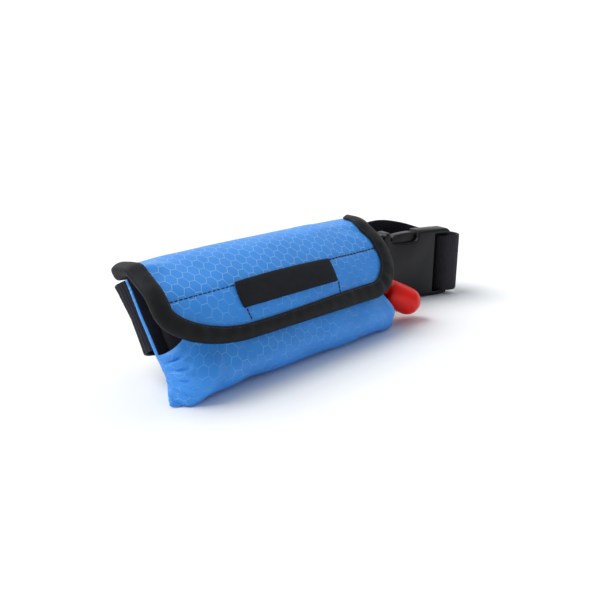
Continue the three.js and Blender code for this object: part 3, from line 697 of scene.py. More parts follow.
def swell(piece, pressure, frames, cap):
    """Fills a closed cover like a bag, and lets no point move further than the cap."""
    scene = bpy.context.scene
    start = np.array([v.co for v in piece.data.vertices])
    cloth = piece.modifiers.new("Swell", "CLOTH")
    cloth.settings.use_pressure = True
    cloth.settings.uniform_pressure_force = pressure
    cloth.settings.effector_weights.gravity = 0.0
    for number in range(1, frames + 1):
        scene.frame_set(number)
    graph = bpy.context.evaluated_depsgraph_get()
    swollen = np.array([v.co for v in piece.evaluated_get(graph).data.vertices])
    piece.modifiers.clear()
    scene.frame_set(1)
    move = swollen - start
    far = np.linalg.norm(move, axis=1, keepdims=True)
    move *= np.minimum(1.0, cap / np.maximum(far, 1e-9))
    for vertex, place in zip(piece.data.vertices, start + move):
        vertex.co = place


def add_stitch(bm, start, end, out, thread):
    """One short stitch of thread between two points, lying on a face whose normal is out."""
    start, end, out = Vector(start), Vector(end), Vector(out).normalized()
    way = end - start
    side = out.cross(way).normalized()
    turn = Matrix((way.normalized(), side, out)).transposed().to_4x4()
    size = Matrix.Diagonal((way.length, thread, 0.8 * thread, 1.0))
    place = Matrix.Translation((start + end) / 2)
    bmesh.ops.create_uvsphere(bm, u_segments=8, v_segments=6, radius=0.5, matrix=place @ turn @ size)


def stitch_along(bm, points, outs, thread, gap=-0.04):
    """A row of stitches between neighbouring points."""
    for a, b, out in zip(points[:-1], points[1:], outs):
        add_stitch(bm, mix(a, b, gap / 2), mix(b, a, gap / 2), out, thread)


# Finishes


class Shade:
    """A shader value: sums, products and the like of it add Math nodes."""

    def __init__(self, tree, socket=None):
        self.tree = tree
        self.socket = socket

    def make(self, kind, settings=None, inputs=None, output=0):
        """Adds a node, sets it up, gives its sockets their values or links, and returns one of its outputs."""
        node = self.tree.nodes.new(kind)
        for key, value in (settings or {}).items():
            setattr(node, key, value)
        for key, value in (inputs or {}).items():
            if isinstance(value, Shade):
                self.tree.links.new(value.socket, node.inputs[key])
            else:
                node.inputs[key].default_value = value
        return Shade(self.tree, node.outputs[output])

    def math(self, operation, *values):
        return self.make("ShaderNodeMath", {"operation": operation}, dict(enumerate((self, *values))))

    def __add__(self, other):
        return self.math("ADD", other)

    def __sub__(self, other):
        return self.math("SUBTRACT", other)

    def __mul__(self, other):
        return self.math("MULTIPLY", other)

    def __truediv__(self, other):
        return self.math("DIVIDE", other)

    def __mod__(self, other):
        return self.math("FLOORED_MODULO", other)

    def __rsub__(self, other):
        return (self * -1.0) + other

    __radd__ = __add__
    __rmul__ = __mul__

    def __abs__(self):
        return self.math("ABSOLUTE")

    def most(self, other):
        return self.math("MAXIMUM", other)

    def wave(self, length):
        """From 0 to 1 and back over a length."""
        return (self * (2 * math.pi / length)).math("SINE") * 0.5 + 0.5

    def between(self, low, high):
        """Smooth step from 0 at low to 1 at high."""
        return self.make("ShaderNodeMapRange", {"interpolation_type": "SMOOTHSTEP"}, {0: self, 1: low, 2: high})

    def blend(self, first, second):
        """The first colour where this value is 0 and the second where it is 1."""
        colour = lambda value: value if isinstance(value, Shade) else (*value, 1.0)
        inputs = {0: self, 6: colour(first), 7: colour(second)}
        return self.make("ShaderNodeMix", {"data_type": "RGBA"}, inputs, output=2)


def tint(colour, factor):
    return tuple(min(1.0, part * factor) for part in colour)


class Finish:
    """A material in the making: its coordinates, its noise and its shader."""

    def __init__(self, name):
        self.material = bpy.data.materials.new(name)
        self.material.use_nodes = True
        self.tree = self.material.node_tree
        self.start = Shade(self.tree)
        self.shader = self.tree.nodes["Principled BSDF"]

    def cloth(self):
        """Millimetres along and across the flat cloth."""
        spot = self.start.make("ShaderNodeUVMap", {"uv_map": CLOTH_UV})
        return [self.start.make("ShaderNodeSeparateXYZ", None, {0: spot}, output=part) for part in (0, 1)]

    def place(self, axis):
        """Place along an axis of the part, in metres."""
        spot = self.start.make("ShaderNodeTexCoord", None, None, output=3)
        return self.start.make("ShaderNodeSeparateXYZ", None, {0: spot}, output="XYZ".index(axis))

    def noise(self, size, detail=3.0, roughness=0.55):
        """Noise from 0 to 1 with blots of about a size in metres."""
        place = self.start.make("ShaderNodeTexCoord", None, None, output=3)
        inputs = {"Vector": place, "Scale": 1.0 / size, "Detail": detail, "Roughness": roughness}
        return self.start.make("ShaderNodeTexNoise", None, inputs)

    def bump(self, height, distance, strength=1.0):
        inputs = {"Height": height, "Distance": distance, "Strength": strength}
        return self.start.make("ShaderNodeBump", None, inputs)

    def done(self, colour, roughness, normal=None, **fixed):
        """Links what changes over the surface and sets what doesn't."""
        for key, value in (("Base Color", colour), ("Roughness", roughness), ("Normal", normal)):
            if value is not None:
                self.tree.links.new(value.socket, self.shader.inputs[key])
        for key, value in fixed.items():
            self.shader.inputs[key.replace("_", " ").title().replace("Ior", "IOR")].default_value = value
        return self.material


def honeycomb(along, down, cell, stretch):
    """Distances in millimetres from the level and from the slanting edges of the nearest honeycomb cell."""
    tall = math.sqrt(3.0)

    def reach(shift):
        level = abs((down / (cell * stretch) - 0.5 * shift) % 1.0 - 0.5)
        across = abs((along / cell - 0.5 * tall * shift) % tall - 0.5 * tall)
        slant = level * 0.5 + across * (tall / 2)
        return level, slant, level.most(slant)

    level, slant, far = reach(0)
    next_level, next_slant, next_far = reach(1)
    nearer = next_far.math("LESS_THAN", far)
    pick = lambda here, there: (0.5 - (here + (there - here) * nearer)) * cell
    return pick(level, next_level), pick(slant, next_slant)


def blue_cloth(finish, pouch):
    """Coated cloth with a honeycomb grid of thicker, paler threads, painted paler on the top as painted light.
    """
    make = Finish("honeycomb_cloth")
    along, down = make.cloth()
    level, slant = honeycomb(along, down, pouch.cell * 1000, 1.14)
    # painted light: share of the height above which the grid is drawn as if lit from above
    high = make.place("Z").between(0.034, 0.050)
    # painted shade: the grid is drawn fainter towards the pouch's right end, below the top
    painted_grid_shade = make.place("X").between(-0.050, 0.030) * (1 - high)
    # random patches that break the grid's lines, kept unbroken on the top as painted light
    patches = make.noise(0.012, 2.0).between(0.40, 0.62).most(high)
    drawn = lambda edge: 1 - edge.between(0.08, 0.24)
    levels = drawn(level) * (patches * 0.5 + 0.5) * (1 - painted_grid_shade * 0.35)
    shown = levels.most(drawn(slant) * (patches * 0.9 + 0.1) * (1 - painted_grid_shade * 0.75))
    weave = along.wave(0.62) * down.wave(0.62)
    cloud = make.noise(0.030, 3.0)
    base = cloud.between(0.3, 0.7).blend(tint(finish.cloth, 0.93), tint(finish.cloth, 1.06))
    # the threads are painted paler on the top: painted light
    colour = (shown * (high * 0.20 + 0.36)).blend(base, tuple(finish.grid))
    roughness = make.noise(0.006) * 0.10 + 0.38 + shown * 0.12
    normal = make.bump(shown * 0.7 + weave * 0.12 + make.noise(0.004) * 0.25, 0.00012)
    return make.done(colour, roughness, normal, specular_ior_level=0.32)


def woven_black(name, colour, pitch, rough, depth):
    """Black cloth with a fine weave."""
    make = Finish(name)
    along, across = make.cloth()
    weave = along.wave(pitch).most(across.wave(pitch))
    cloud = make.noise(0.009, 4.0)
    shade = cloud.between(0.25, 0.75) * 0.7 + weave * 0.3
    tone = shade.blend(tint(colour, 0.72), tint(colour, 1.35))
    normal = make.bump(weave + make.noise(0.0016) * 0.6, depth)
    return make.done(tone, make.noise(0.005) * 0.16 + rough, normal, specular_ior_level=0.2)


def ribbed_webbing(finish, belt):
    """Webbing with fine threads along it over its modelled ribs, with painted shade and highlight on the ribs.
    """
    make = Finish("ribbed_webbing")
    along, across = make.cloth()
    rib = along.wave(belt.rib * 1000)
    yarn = across.wave(0.8)
    patches = make.noise(0.012, 4.0).between(0.3, 0.75)
    # painted shade and painted highlight: the colour is striped darker and paler at the pitch of the ribs
    shade = rib * 0.65 + yarn * 0.05 + patches * 0.3
    tone = shade.blend(tint(finish.webbing, 0.45), tint(finish.webbing, 1.7))
    normal = make.bump(yarn * 0.15 + rib * 0.8 + make.noise(0.0012) * 0.4, 0.00014)
    return make.done(tone, make.noise(0.004) * 0.15 + 0.58, normal, specular_ior_level=0.3)


def moulded_plastic(finish):
    """Black plastic with a fine spark-eroded grain and faint scuffs."""
    make = Finish("moulded_plastic")
    grain = make.noise(0.0005, 2.0)
    scuff = make.noise(0.010, 5.0, 0.7).between(0.52, 0.80)
    tone = scuff.blend(tint(finish.plastic, 0.9), tint(finish.plastic, 1.6))
    normal = make.bump(grain * 0.8 + make.noise(0.006) * 0.6, 0.00005)
    return make.done(tone, scuff * 0.14 + grain * 0.08 + 0.36, normal, specular_ior_level=0.30)


def red_rubber(finish):
    """Satin red rubber, a little darker in blots."""
    make = Finish("red_rubber")
    cloud = make.noise(0.010, 4.0)
    tone = cloud.between(0.3, 0.8).blend(tuple(finish.rubber), tint(finish.rubber, 0.82))
    normal = make.bump(make.noise(0.0011, 2.0) + make.noise(0.006) * 0.8, 0.00006)
    return make.done(tone, cloud * 0.12 + 0.30, normal, specular_ior_level=0.28)


def plain_thread(finish):
    """Twisted black thread."""
    make = Finish("black_thread")
    twist = make.noise(0.0007, 2.0)
    tone = twist.blend(tint(finish.thread, 0.6), tint(finish.thread, 1.6))
    return make.done(tone, twist * 0.2 + 0.5, make.bump(twist, 0.0001))


def pale_floor(colour):
    """Paper floor with a barely seen tone."""
    make = Finish("paper_floor")
    cloud = make.noise(0.4, 2.0)
    tone = cloud.blend(tint(colour, 0.995), tint(colour, 1.0))
    return make.done(tone, cloud * 0.05 + 0.75, None, specular_ior_level=0.2)


FINISHES = {}


def finish_of(name, maker, *values):
    """Makes a finish once, and gives the same one after that."""
    if name not in FINISHES:
        FINISHES[name] = maker(*values)
    return FINISHES[name]


def settings_of(context):
    scene = context.scene
    return scene.belt_pack_pouch, scene.belt_pack_belt, scene.belt_pack_finish, scene.belt_pack_stage


def blue(context):
    pouch, _, finish, _ = settings_of(context)
    return finish_of("blue", blue_cloth, finish, pouch)


def tape_black(context):
    finish = context.scene.belt_pack_finish
    return finish_of("tape", woven_black, "binding_tape", tuple(finish.tape), 0.7, 0.52, 0.00006)


def cover_black(context):
    finish = context.scene.belt_pack_finish
    return finish_of("cover", woven_black, "float_cover", tuple(finish.cover), 0.8, 0.66, 0.00006)


def painted_light_lining(context):
    finish = context.scene.belt_pack_finish
    # painted light: the cover's black made five times paler for the shaded inner face of the back panel
    return finish_of("lining", woven_black, "pouch_lining", tint(finish.cover, 5.0), 0.8, 0.66, 0.00006)


def webbing_black(context):
    _, belt, finish, _ = settings_of(context)
    return finish_of("webbing", ribbed_webbing, finish, belt)


# Operators


class BELTPACK_OT_back_panel(Operator):
    """Lays the back panel, blue outside and dark inside, bulging where the float fills it"""

    bl_idname = "belt_pack.back_panel"
    bl_label = "Back Panel"

    def execute(self, context):
        pouch = context.scene.belt_pack_pouch
        left, right = POUCH_LEFT + PANEL_INSET, POUCH_RIGHT - PANEL_INSET
        across = lambda u: mix(left, right, u)

        def at(u, v):
            x = across(u)
            slack = ripple(x, v * PANEL.length, POCKET_RIPPLES) * np.sin(math.pi * v) * 0.8
            place = panel_at(x, v) + outward(panel_at, x, v, 0.2, 0.005, 1.0) * slack[..., None]
            for seam, from_end in ((LEFT_SEAM, x - left), (RIGHT_SEAM, right - x)):
                height = np.clip(place[..., 2] / seam.points[-1][1], 0, 1)
                free = smooth((height - PANEL_SEAM["free_from"]) / (1 - PANEL_SEAM["free_from"]))
                sewn = (1 - smooth(from_end / PANEL_SEAM["reach"])) * (1 - free)
                seam_y = seam.at(height * seam.length)[..., 0] + PANEL_SEAM["behind"]
                place[..., 1] = mix(place[..., 1], seam_y, sewn)
                if seam is LEFT_SEAM:
                    place[..., 0] -= LEFT_TOE["side"] * sewn * (1 - smooth(2 * height))
            return place

        flat = lambda u, v: np.stack([across(u), v * PANEL.length], axis=-1)
        bm = lay_grid(70, 28, at, flat, True)
        panel = add_piece("panel_cloth", bm, blue(context), "blue_cloth", "back_panel")
        # its inner face gets the paler black: painted light
        panel.data.materials.append(painted_light_lining(context))
        thicken(panel, pouch.panel_cloth, inner_slot=1, crisp=0.8)
        return {"FINISHED"}


class BELTPACK_OT_front_pocket(Operator):
    """Lays the front pocket with its gathered seams, creases and open hem"""

    bl_idname = "belt_pack.front_pocket"
    bl_label = "Front Pocket"

    def execute(self, context):
        pouch = context.scene.belt_pack_pouch
        lowest = pouch.pocket_cloth * 1000 / 2

        def across(u):
            turned = (1 - np.cos(math.pi * u)) / 2
            return mix(POUCH_LEFT, POUCH_RIGHT, mix(u, turned, 0.6))

        def at(u, v):
            x = across(u)
            inside = smooth((x - POUCH_LEFT) / 3) * smooth((POUCH_RIGHT - x) / 3) * smooth(v / 0.12)
            folds = ripple(x, v * POCKET.length, POCKET_RIPPLES) + crease(x, v, POCKET_CREASES, POCKET.length)
            place = pocket_at(x, v) - outward(pocket_at, x, v, 0.1, 0.004, 1.0) * (folds * inside)[..., None]
            place[..., 2] = np.maximum(place[..., 2], lowest + 0.05)
            return place

        pocket = add_piece("pocket_cloth", lay_grid(150, 52, at), blue(context), "blue_cloth", "front_pocket")
        thicken(pocket, pouch.pocket_cloth)
        return {"FINISHED"}


class BELTPACK_OT_flap(Operator):
    """Lays the flap over the top of the pouch, with the groove of its stitch line"""

    bl_idname = "belt_pack.flap"
    bl_label = "Flap"

    def execute(self, context):
        pouch = context.scene.belt_pack_pouch

        def spot(u, v):
            s = v * FLAP_LENGTH
            left, right = flap_limits(s)
            return mix(left, right, u), s

        at = lambda u, v: flap_cloth(*spot(u, v))
        flat = lambda u, v: np.stack(spot(u, v), axis=-1)
        flap = add_piece("flap_cloth", lay_grid(140, 66, at, flat, True), blue(context), "blue_cloth", "flap")
        thicken(flap, pouch.flap_cloth)
        width = (FLAP_RIGHT - FLAP_LEFT) * MM
        boxes = sum(corner["along"] * corner["down"] for corner in (LEFT_CORNER, RIGHT_CORNER))
        area = width * FLAP_LENGTH * MM - (1 - math.pi / 4) * boxes * MM * MM
        return {"FINISHED"}


class BELTPACK_OT_flap_binding(Operator):
    """Folds the binding tape round the flap's free edge"""

    bl_idname = "belt_pack.flap_binding"
    bl_label = "Flap Binding"

    def execute(self, context):
        pouch = context.scene.belt_pack_pouch
        tape, dome = pouch.tape * 1000, pouch.tape_dome * 1000
        half = pouch.flap_cloth * 1000 / 2 + tape / 2 + TAPE_GAP
        start, end = 0.5 - TAPE_FOLD / 2, 0.5 + TAPE_FOLD / 2

        def fold(v):
            """Share of the width in from the edge, bulge past the edge and lift, across the folded tape."""
            inset = 1 - np.minimum(np.clip(v / start, 0, 1), np.clip((1 - v) / start, 0, 1))
            angle = (np.clip(v, start, end) - 0.5) / TAPE_FOLD * math.pi
            rise = dome * np.sin(math.pi * inset) ** 0.8
            lift = np.where(v < 0.5, rise, -0.3 * rise) - half * np.sin(angle)
            return inset, 0.75 * half * np.cos(angle), lift

        def at(u, v):
            length = u * EDGE.length
            x, s = from_edge(length, 0.0)
            from_end = np.minimum(length, EDGE.length - length)
            rounded = np.sqrt(1 - (1 - np.clip(from_end / TAPE_END["rounding"], 0.02, 1)) ** 2)
            inset, past, lift = fold(v)
            wide = tape_width(x) * rounded
            left_tip = np.exp(-((length / TAPE_END["thick"]) ** 2)) * rounded
            x, s = from_edge(length, inset * wide - past * rounded)
            lift = lift * (1 + np.where(lift < 0, 2.0, 0.2) * left_tip)
            on_left = 1 - smooth((x - TAPE_KINK["from"]) / TAPE_KINK["fade"])
            kink = on_left * np.exp(-(((s - TAPE_KINK["at"]) / TAPE_KINK["width"]) ** 2)) * (lift > 0)
            phase = 2 * math.pi * length / TAPE_WAVE["length"] + 2 * np.sin(length / TAPE_WAVE["wander"])
            slack = TAPE_WAVE["height"] * np.sin(phase) - TAPE_KINK["depth"] * kink
            return flap_cloth(x, s, lift + slack * np.sin(math.pi * inset))

        flat = lambda u, v: np.stack([u * EDGE.length, v * TAPE_MAP], axis=-1)
        bm = lay_grid(240, 26, at, flat, True)
        binding = add_piece("binding_tape", bm, tape_black(context), "black_tape", "flap_binding")
        thicken(binding, pouch.tape)
        return {"FINISHED"}


class BELTPACK_OT_label(Operator):
    """Lays the blank woven label on the flap"""

    bl_idname = "belt_pack.label"
    bl_label = "Label"

    def execute(self, context):
        pouch, _, finish, _ = settings_of(context)
        lift = pouch.flap_cloth * 1000 / 2 + LABEL["cloth"] / 2 + 0.12

        def spot(u, v):
            bow = LABEL_BOW["left"] * 4 * v * (1 - v) * (1 - u)
            x = LABEL["left"] - bow + u * (LABEL["length"] + bow)
            arch = LABEL_BOW["top"] * 4 * u * (1 - u)
            top = LABEL["top"] - arch + (1 - u) * LABEL["tilt"]
            return x, top + v * (LABEL["height"] + arch)

        def at(u, v):
            rim = np.minimum(np.minimum(u, 1 - u) * LABEL["length"], np.minimum(v, 1 - v) * LABEL["height"])
            x, s = spot(u, v)
            rise = LABEL_RIM["rise"] * smooth(rim / LABEL_RIM["width"])
            return flap_cloth(x, s, lift + rise + 0.05 * np.sin(x / 2.9))

        flat = lambda u, v: np.stack(spot(u, v), axis=-1)
        woven = finish_of("label", woven_black, "woven_label", tuple(finish.label), 0.55, 0.56, 0.00007)
        label = add_piece("woven_label", lay_grid(84, 20, at, flat, True), woven, "black_tape", "label")
        thicken(label, LABEL["cloth"] * MM)
        return {"FINISHED"}


class BELTPACK_OT_packed_float(Operator):
    """Swells the black cover of the folded float inside the pouch"""

    bl_idname = "belt_pack.packed_float"
    bl_label = "Packed Float"

    def execute(self, context):
        pouch = context.scene.belt_pack_pouch
        slack = 0.0012
        bm = bmesh.new()
        bm.from_mesh(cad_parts["packed_float"].data)
        bmesh.ops.remove_doubles(bm, verts=bm.verts, dist=1e-6)
        bmesh.ops.smooth_vert(bm, verts=bm.verts, factor=0.3, use_axis_x=True, use_axis_y=True, use_axis_z=True)
        bm.normal_update()
        for vert in bm.verts:
            vert.co -= vert.normal * slack
        cover = add_piece("float_cover", bm, cover_black(context), "black_cover", "packed_float")
        remesh = cover.modifiers.new("Even", "REMESH")
        remesh.mode = "VOXEL"
        remesh.voxel_size = 0.003
        bake_modifiers(cover)
        swell(cover, pouch.swell, 20, slack)
        cover.data.shade_smooth()
        cover.data.uv_layers.new(name=CLOTH_UV)
        wrap_uv(cover)
        soften(cover)
        return {"FINISHED"}


def wrap_uv(piece):
    """Lays millimetres along X, and round the piece, on its UV map."""
    layer = piece.data.uv_layers[CLOTH_UV].data
    for loop in piece.data.loops:
        place = piece.data.vertices[loop.vertex_index].co / MM
        layer[loop.index].uv = (place.x, place.z - place.y)


class BELTPACK_OT_trigger_knob(Operator):
    """Turns the red pull knob, a bullet with a rounded rim, on its neck"""

    bl_idname = "belt_pack.trigger_knob"
    bl_label = "Trigger Knob"

    def execute(self, context):
        _, belt, finish, _ = settings_of(context)
        radius = belt.knob
        nose = np.linspace(math.pi / 2, 0, 14)
        profile = [(radius * math.cos(a), radius * math.sin(a)) for a in nose]
        profile += [(radius * share, height * MM) for share, height in KNOB_RIM]
        profile += [(thick * MM, height * MM) for thick, height in KNOB_NECK]
        bm = bmesh.new()
        verts = [bm.verts.new((r, 0.0, h)) for r, h in profile]
        edges = [bm.edges.new(pair) for pair in zip(verts[:-1], verts[1:])]
        bmesh.ops.spin(
            bm, geom=verts + edges, cent=(0, 0, 0), axis=(0, 0, 1), angle=2 * math.pi, steps=56, use_merge=True
        )
        bmesh.ops.remove_doubles(bm, verts=bm.verts, dist=1e-6)
        bmesh.ops.recalc_face_normals(bm, faces=bm.faces)
        turn = Vector((0, 0, 1)).rotation_difference(Vector(KNOB_AXIS)).to_matrix().to_4x4()
        bmesh.ops.transform(bm, matrix=Matrix.Translation(to_row(KNOB_CAP)) @ turn, verts=bm.verts)
        rubber = finish_of("rubber", red_rubber, finish)
        knob = add_piece("pull_knob", bm, rubber, "red_rubber", "trigger_knob")
        knob.data.set_sharp_from_angle(angle=math.radians(50))
        return {"FINISHED"}


class BELTPACK_OT_belt(Operator):
    """Runs the ribbed webbing from the plug, round the back of the pouch, to its tail in the socket"""

    bl_idname = "belt_pack.belt"
    bl_label = "Belt"

    def execute(self, context):
        belt = context.scene.belt_pack_belt
        half_width, half = belt.width * 1000 / 2, belt.thickness * 1000 / 2
        pitch, height = belt.rib * 1000, belt.rib_height * 1000
        around = 20
        turn = np.linspace(0, 2 * math.pi, around + 1)

        def square(wave):
            """A wave flattened to the faces of the webbing, with rounded edges."""
            wave = np.round(wave, 6)  # so that the two ends of the section meet
            return np.sign(wave) * np.abs(wave) ** 0.18

        bend = BELT.length_to(BEND_ROW)

        def at(u, v):
            length = u * BELT.length
            middle, up, out = belt_frame(length)
            angle = np.interp(v * around, np.arange(around + 1), turn)
            rib = height * (np.cos(2 * math.pi * length / pitch) - 1)
            cupped = np.exp(-(((length - bend) / BEND["reach"]) ** 2))
            across = half_width * square(np.cos(angle)) * (1 - BEND["narrower"] * cupped)
            off = (half + rib) * square(np.sin(angle)) - BEND["cup"] * cupped * (across / half_width) ** 2
            return middle + up * across[..., None] + out * off[..., None]

        def flat(u, v):
            return np.stack([u * BELT.length, half_width * np.cos(v * 2 * math.pi)], axis=-1)

        bm = lay_grid(int(BELT.length / pitch * 4), around, at, flat)
        bmesh.ops.remove_doubles(bm, verts=bm.verts, dist=1e-6)
        bmesh.ops.holes_fill(bm, edges=bm.edges, sides=around + 1)
        bmesh.ops.recalc_face_normals(bm, faces=bm.faces)
        webbing = add_piece("belt_webbing", bm, webbing_black(context), "webbing", "belt")
        return {"FINISHED"}


class BELTPACK_OT_belt_keeper(Operator):
    """Lays the band that holds the belt on the back panel"""

    bl_idname = "belt_pack.belt_keeper"
    bl_label = "Belt Keeper"

    def execute(self, context):
        pouch, belt, _, _ = settings_of(context)
        half = belt.keeper * 1000 / 2
        near, far = (belt.width * 1000 / 2 + KEEPER_FOLD[key] for key in ("near", "far"))
        off = belt.thickness * 1000 / 2 + half + 0.3
        sewn = pouch.panel_cloth * 1000 / 2 + half + 0.2
        run = np.linspace(*(BELT.length_to(row) for row in KEEPER_ROWS), 400)
        run_x = BELT.at(run)[:, 0]
        low_end, low, high, high_end = KEEPER["sewn"]

        def rows_at(x):
            length = np.interp(-x, -run_x, run)
            middle, up, _ = belt_frame(length)
            out = np.stack([np.zeros_like(x), up[..., 2], -up[..., 1]], axis=-1)
            on_panel = lambda v: panel_at(x, v) + outward(panel_at, x, v, 0.2, 0.005, 1.0) * sewn
            on_belt = lambda across, lift: middle + up * across + out * lift
            level = np.ones_like(x)
            return [
                on_panel(high_end * level),
                on_panel(high * level),
                on_belt(far, 0.0),
                on_belt(near, off),
                on_belt(0.0, off + 0.3),
                on_belt(-near, off),
                on_belt(-far, 0.0),
                on_panel(low * level),
                on_panel(low_end * level),
            ]

        def at(u, v):
            x = mix(KEEPER["left"], KEEPER["right"], u)
            rows = np.stack(rows_at(x), axis=1)
            last = rows.shape[1] - 1
            row = np.minimum((v * last).astype(int), last - 1)
            index = np.arange(len(x))
            return mix(rows[index, row], rows[index, row + 1], (v * last - row)[:, None])

        wide, tall = KEEPER["right"] - KEEPER["left"], KEEPER["length"]
        flat = lambda u, v: np.stack([v * tall, u * wide], axis=-1)
        bm = lay_grid(16, 32, at, flat)
        band = add_piece("keeper_band", bm, webbing_black(context), "webbing", "belt_keeper")
        thicken(band, belt.keeper)
        return {"FINISHED"}


class BELTPACK_OT_buckle(Operator):
    """Squares the windows and pads of the buckle's socket and plug, and rounds their edges"""

    bl_idname = "belt_pack.buckle"
    bl_label = "Buckle"

    def execute(self, context):
        _, belt, finish, _ = settings_of(context)
        plastic = finish_of("plastic", moulded_plastic, finish)
        halves = (
            ("socket_moulding", "buckle_socket", WINDOW_CURVE, WINDOW_EDGE),
            ("plug_moulding", "buckle_plug", PAD_CURVE, PAD_EDGE),
        )
        for name, node, curve, squarer in halves:
            bm = bmesh.new()
            bm.from_mesh(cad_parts[node].data)
            bmesh.ops.remove_doubles(bm, verts=bm.verts, dist=1e-6)
            bmesh.ops.dissolve_limit(bm, angle_limit=math.radians(1.5), verts=bm.verts, edges=bm.edges)
            square_edge(bm, curve, squarer)
            sharp = [edge for edge in bm.edges if edge.calc_face_angle(0.0) > math.radians(35)]
            bmesh.ops.bevel(
                bm,
                geom=sharp,
                offset=belt.edge,
                segments=3,
                profile=0.5,
                material=-1,
                affect="EDGES",
                clamp_overlap=True,
            )
            moulding = add_piece(name, bm, plastic, "black_plastic", node)
            moulding.data.set_sharp_from_angle(angle=math.radians(32))
        return {"FINISHED"}


def square_edge(bm, curve, edge):
    """Moves the points beside a curve on the buckle, above and below, beside an edge with squarer corners."""
    t = np.linspace(0, 1, 401)
    a, b, c, d = (np.array(spot)[None] for spot in curve)
    rest = 1 - t[:, None]
    old = a * rest**3 + 3 * b * rest**2 * (1 - rest) + 3 * c * rest * (1 - rest) ** 2 + d * (1 - rest) ** 3
    side = -np.cos(math.pi * t)
    across = np.sign(side) * np.abs(side) ** 0.5
    height = edge["base"] + edge["rise"] * np.sin(math.pi * t) ** 0.5 + edge["tilt"] * across
    new = np.stack([mix(edge["left"], edge["right"], (across + 1) / 2), height], axis=1)
    ways = [unit(np.gradient(line, axis=0)) for line in (old, new)]
    cos, sin = math.cos(BUCKLE_TURN), math.sin(BUCKLE_TURN)
    for vert in bm.verts:
        x, y, z = np.array(vert.co) / MM + ORIGIN - (*BUCKLE_AT, BUCKLE_MIDDLE)
        spot = np.array((x * cos + y * sin, abs(z)))
        far = np.linalg.norm(old - spot, axis=1)
        near = far.argmin()
        if far[near] > edge["reach"] or not old[0, 0] - EDGE_ROOM < spot[0] < old[-1, 0] + EDGE_ROOM:
            continue
        off = spot - old[near]
        (wa, wz), (va, vz) = ways[0][near], ways[1][near]
        on, past = off[0] * wa + off[1] * wz, off[1] * wa - off[0] * wz
        moved = new[near] + (on * va - past * vz, on * vz + past * va)
        along, up = moved[0] - spot[0], min(moved[1], BUCKLE_MIDDLE) - spot[1]
        vert.co += Vector((along * cos, along * sin, up if z > 0 else -up)) * MM


class BELTPACK_OT_stitching(Operator):
    """Sews the thread across the flap, below its label and along its tape"""

    bl_idname = "belt_pack.stitching"
    bl_label = "Stitching"

    def execute(self, context):
        pouch, _, finish, _ = settings_of(context)
        pitch, thread = pouch.stitch * 1000, pouch.thread
        on_cloth = pouch.flap_cloth * 1000 / 2
        on_tape = on_cloth + pouch.tape * 1000 + TAPE_GAP + pouch.tape_dome * 500
        black = finish_of("thread", plain_thread, finish)

        def row(bm, x, s, lift, thick=thread):
            x, s = np.asarray(x, float), np.asarray(s, float)
            stitch_along(bm, to_row(flap_cloth(x, s, np.full_like(x, lift))), flap_out(x, s), thick)

        bm = bmesh.new()
        for start, end in (CROSS_STITCH[:2], CROSS_STITCH[2:]):
            x = np.linspace(start[0], end[0], round((end[0] - start[0]) / pitch) + 1)
            row(bm, x, stitch_row(x), on_cloth)
        for start, end in CORNER_STITCHES:
            share = np.linspace(0, 1, 4)
            row(bm, mix(start[0], end[0], share), mix(start[1], end[1], share), on_cloth)
        add_piece("flap_thread", bm, black, "black_tape")

        bm = bmesh.new()
        start, end = TAPE_SEAM["end"], EDGE.length - TAPE_SEAM["end"]
        length = np.linspace(start, end, round((end - start) / pitch) + 1)
        inset = tape_width(from_edge(length, 0.0)[0]) - TAPE_SEAM["inset"]
        row(bm, *from_edge(length, inset), on_tape, 0.6 * thread)
        add_piece("tape_thread", bm, black, "black_tape")
        return {"FINISHED"}


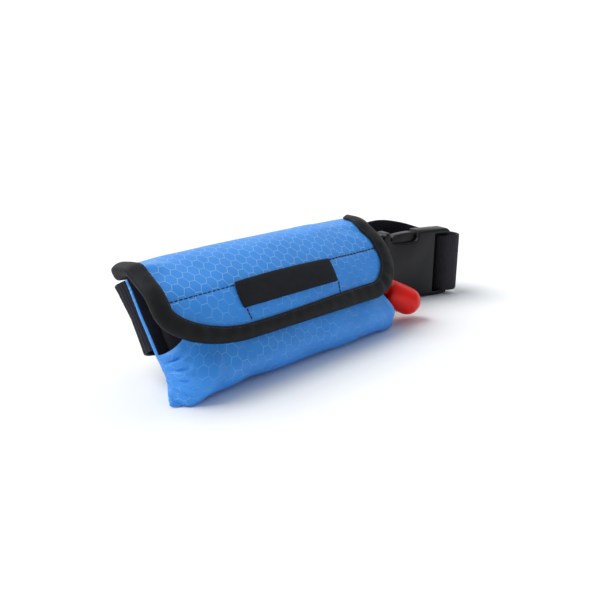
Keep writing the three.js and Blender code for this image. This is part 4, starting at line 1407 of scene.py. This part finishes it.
class BELTPACK_OT_stage(Operator):
    """Sets up the floor, the lights and the camera"""

    bl_idname = "belt_pack.stage"
    bl_label = "Stage"

    def execute(self, context):
        scene, stage = context.scene, context.scene.belt_pack_stage
        bm = bmesh.new()
        bmesh.ops.create_grid(bm, x_segments=2, y_segments=2, size=6.0)
        mesh = bpy.data.meshes.new("floor")
        bm.to_mesh(mesh)
        bm.free()
        mesh.materials.append(finish_of("floor", pale_floor, tuple(stage.floor)))
        floor = bpy.data.objects.new("floor", mesh)
        scene.collection.objects.link(floor)

        scene.world = bpy.data.worlds.new("studio")
        scene.world.use_nodes = True
        tree = scene.world.node_tree
        towards = Shade(tree).make("ShaderNodeTexCoord")
        inputs = {0: towards, 1: BACKDROP_SIDE}
        behind = Shade(tree).make("ShaderNodeVectorMath", {"operation": "DOT_PRODUCT"}, inputs, output=1)
        white, cool = (1.0, 1.0, 1.0), (0.78, 0.92, 1.10)
        lit = lambda colour, strength: [part * strength for part in colour]
        up = Shade(tree).make("ShaderNodeSeparateXYZ", None, {0: towards}, output=2)
        pale = behind.between(-0.25, 0.65).most(1 - up.between(0.05, 0.20))
        sky = pale.blend(lit(cool, stage.room), lit(white, stage.backdrop))
        tree.links.new(sky.socket, tree.nodes["Background"].inputs["Color"])
        overhead = add_light("overhead", "SUN", OVERHEAD, stage.key)
        overhead.angle = math.radians(OVERHEAD["angle"])
        left = add_light("left_fill", "AREA", LEFT_FILL, stage.fill)
        left.size = LEFT_FILL["size"]

        lens = bpy.data.cameras.new("camera")
        lens.lens = stage.lens
        lens.sensor_width = 36.0
        lens.clip_start = 0.01
        camera = bpy.data.objects.new("camera", lens)
        scene.collection.objects.link(camera)
        camera.location = to_row(CAMERA_AT)
        camera.rotation_euler = Vector(CAMERA_LOOK).to_track_quat("-Z", "Y").to_euler()
        scene.camera = camera
        scene.view_settings.view_transform = "Standard"
        return {"FINISHED"}


def add_light(name, kind, spot, power):
    """One light at its spot, turned to its aim."""
    data = bpy.data.lights.new(name, kind)
    data.energy = power
    light = bpy.data.objects.new(name, data)
    bpy.context.scene.collection.objects.link(light)
    light.location = spot["at"]
    light.rotation_euler = (Vector(spot["aim"]) - light.location).to_track_quat("-Z", "Y").to_euler()
    return data


class BELTPACK_PT_sidebar(Panel):
    """Lists the pieces and their settings"""

    bl_idname = "BELTPACK_PT_sidebar"
    bl_label = "Belt Pack"
    bl_space_type = "VIEW_3D"
    bl_region_type = "UI"
    bl_category = "Belt Pack"

    def draw(self, context):
        for group in settings_of(context):
            box = self.layout.box()
            for key in group.bl_rna.properties.keys():
                if key not in {"rna_type", "name"}:
                    box.prop(group, key)
        for operator in OPERATORS:
            self.layout.operator(operator.bl_idname)


SETTINGS = {
    "belt_pack_pouch": PouchSettings,
    "belt_pack_belt": BeltSettings,
    "belt_pack_finish": FinishSettings,
    "belt_pack_stage": StageSettings,
}
OPERATORS = (
    BELTPACK_OT_stage,
    BELTPACK_OT_back_panel,
    BELTPACK_OT_packed_float,
    BELTPACK_OT_front_pocket,
    BELTPACK_OT_flap,
    BELTPACK_OT_flap_binding,
    BELTPACK_OT_label,
    BELTPACK_OT_stitching,
    BELTPACK_OT_trigger_knob,
    BELTPACK_OT_belt,
    BELTPACK_OT_belt_keeper,
    BELTPACK_OT_buckle,
)


def register():
    for cls in (*SETTINGS.values(), *OPERATORS, BELTPACK_PT_sidebar):
        bpy.utils.register_class(cls)
    for name, cls in SETTINGS.items():
        setattr(bpy.types.Scene, name, PointerProperty(type=cls))


def unregister():
    for name in SETTINGS:
        delattr(bpy.types.Scene, name)
    for cls in reversed((*SETTINGS.values(), *OPERATORS, BELTPACK_PT_sidebar)):
        bpy.utils.unregister_class(cls)


def main():
    register()
    for operator in OPERATORS:
        group, name = operator.bl_idname.split(".")
        getattr(getattr(bpy.ops, group), name)()


if __name__ == "__main__":
    main()
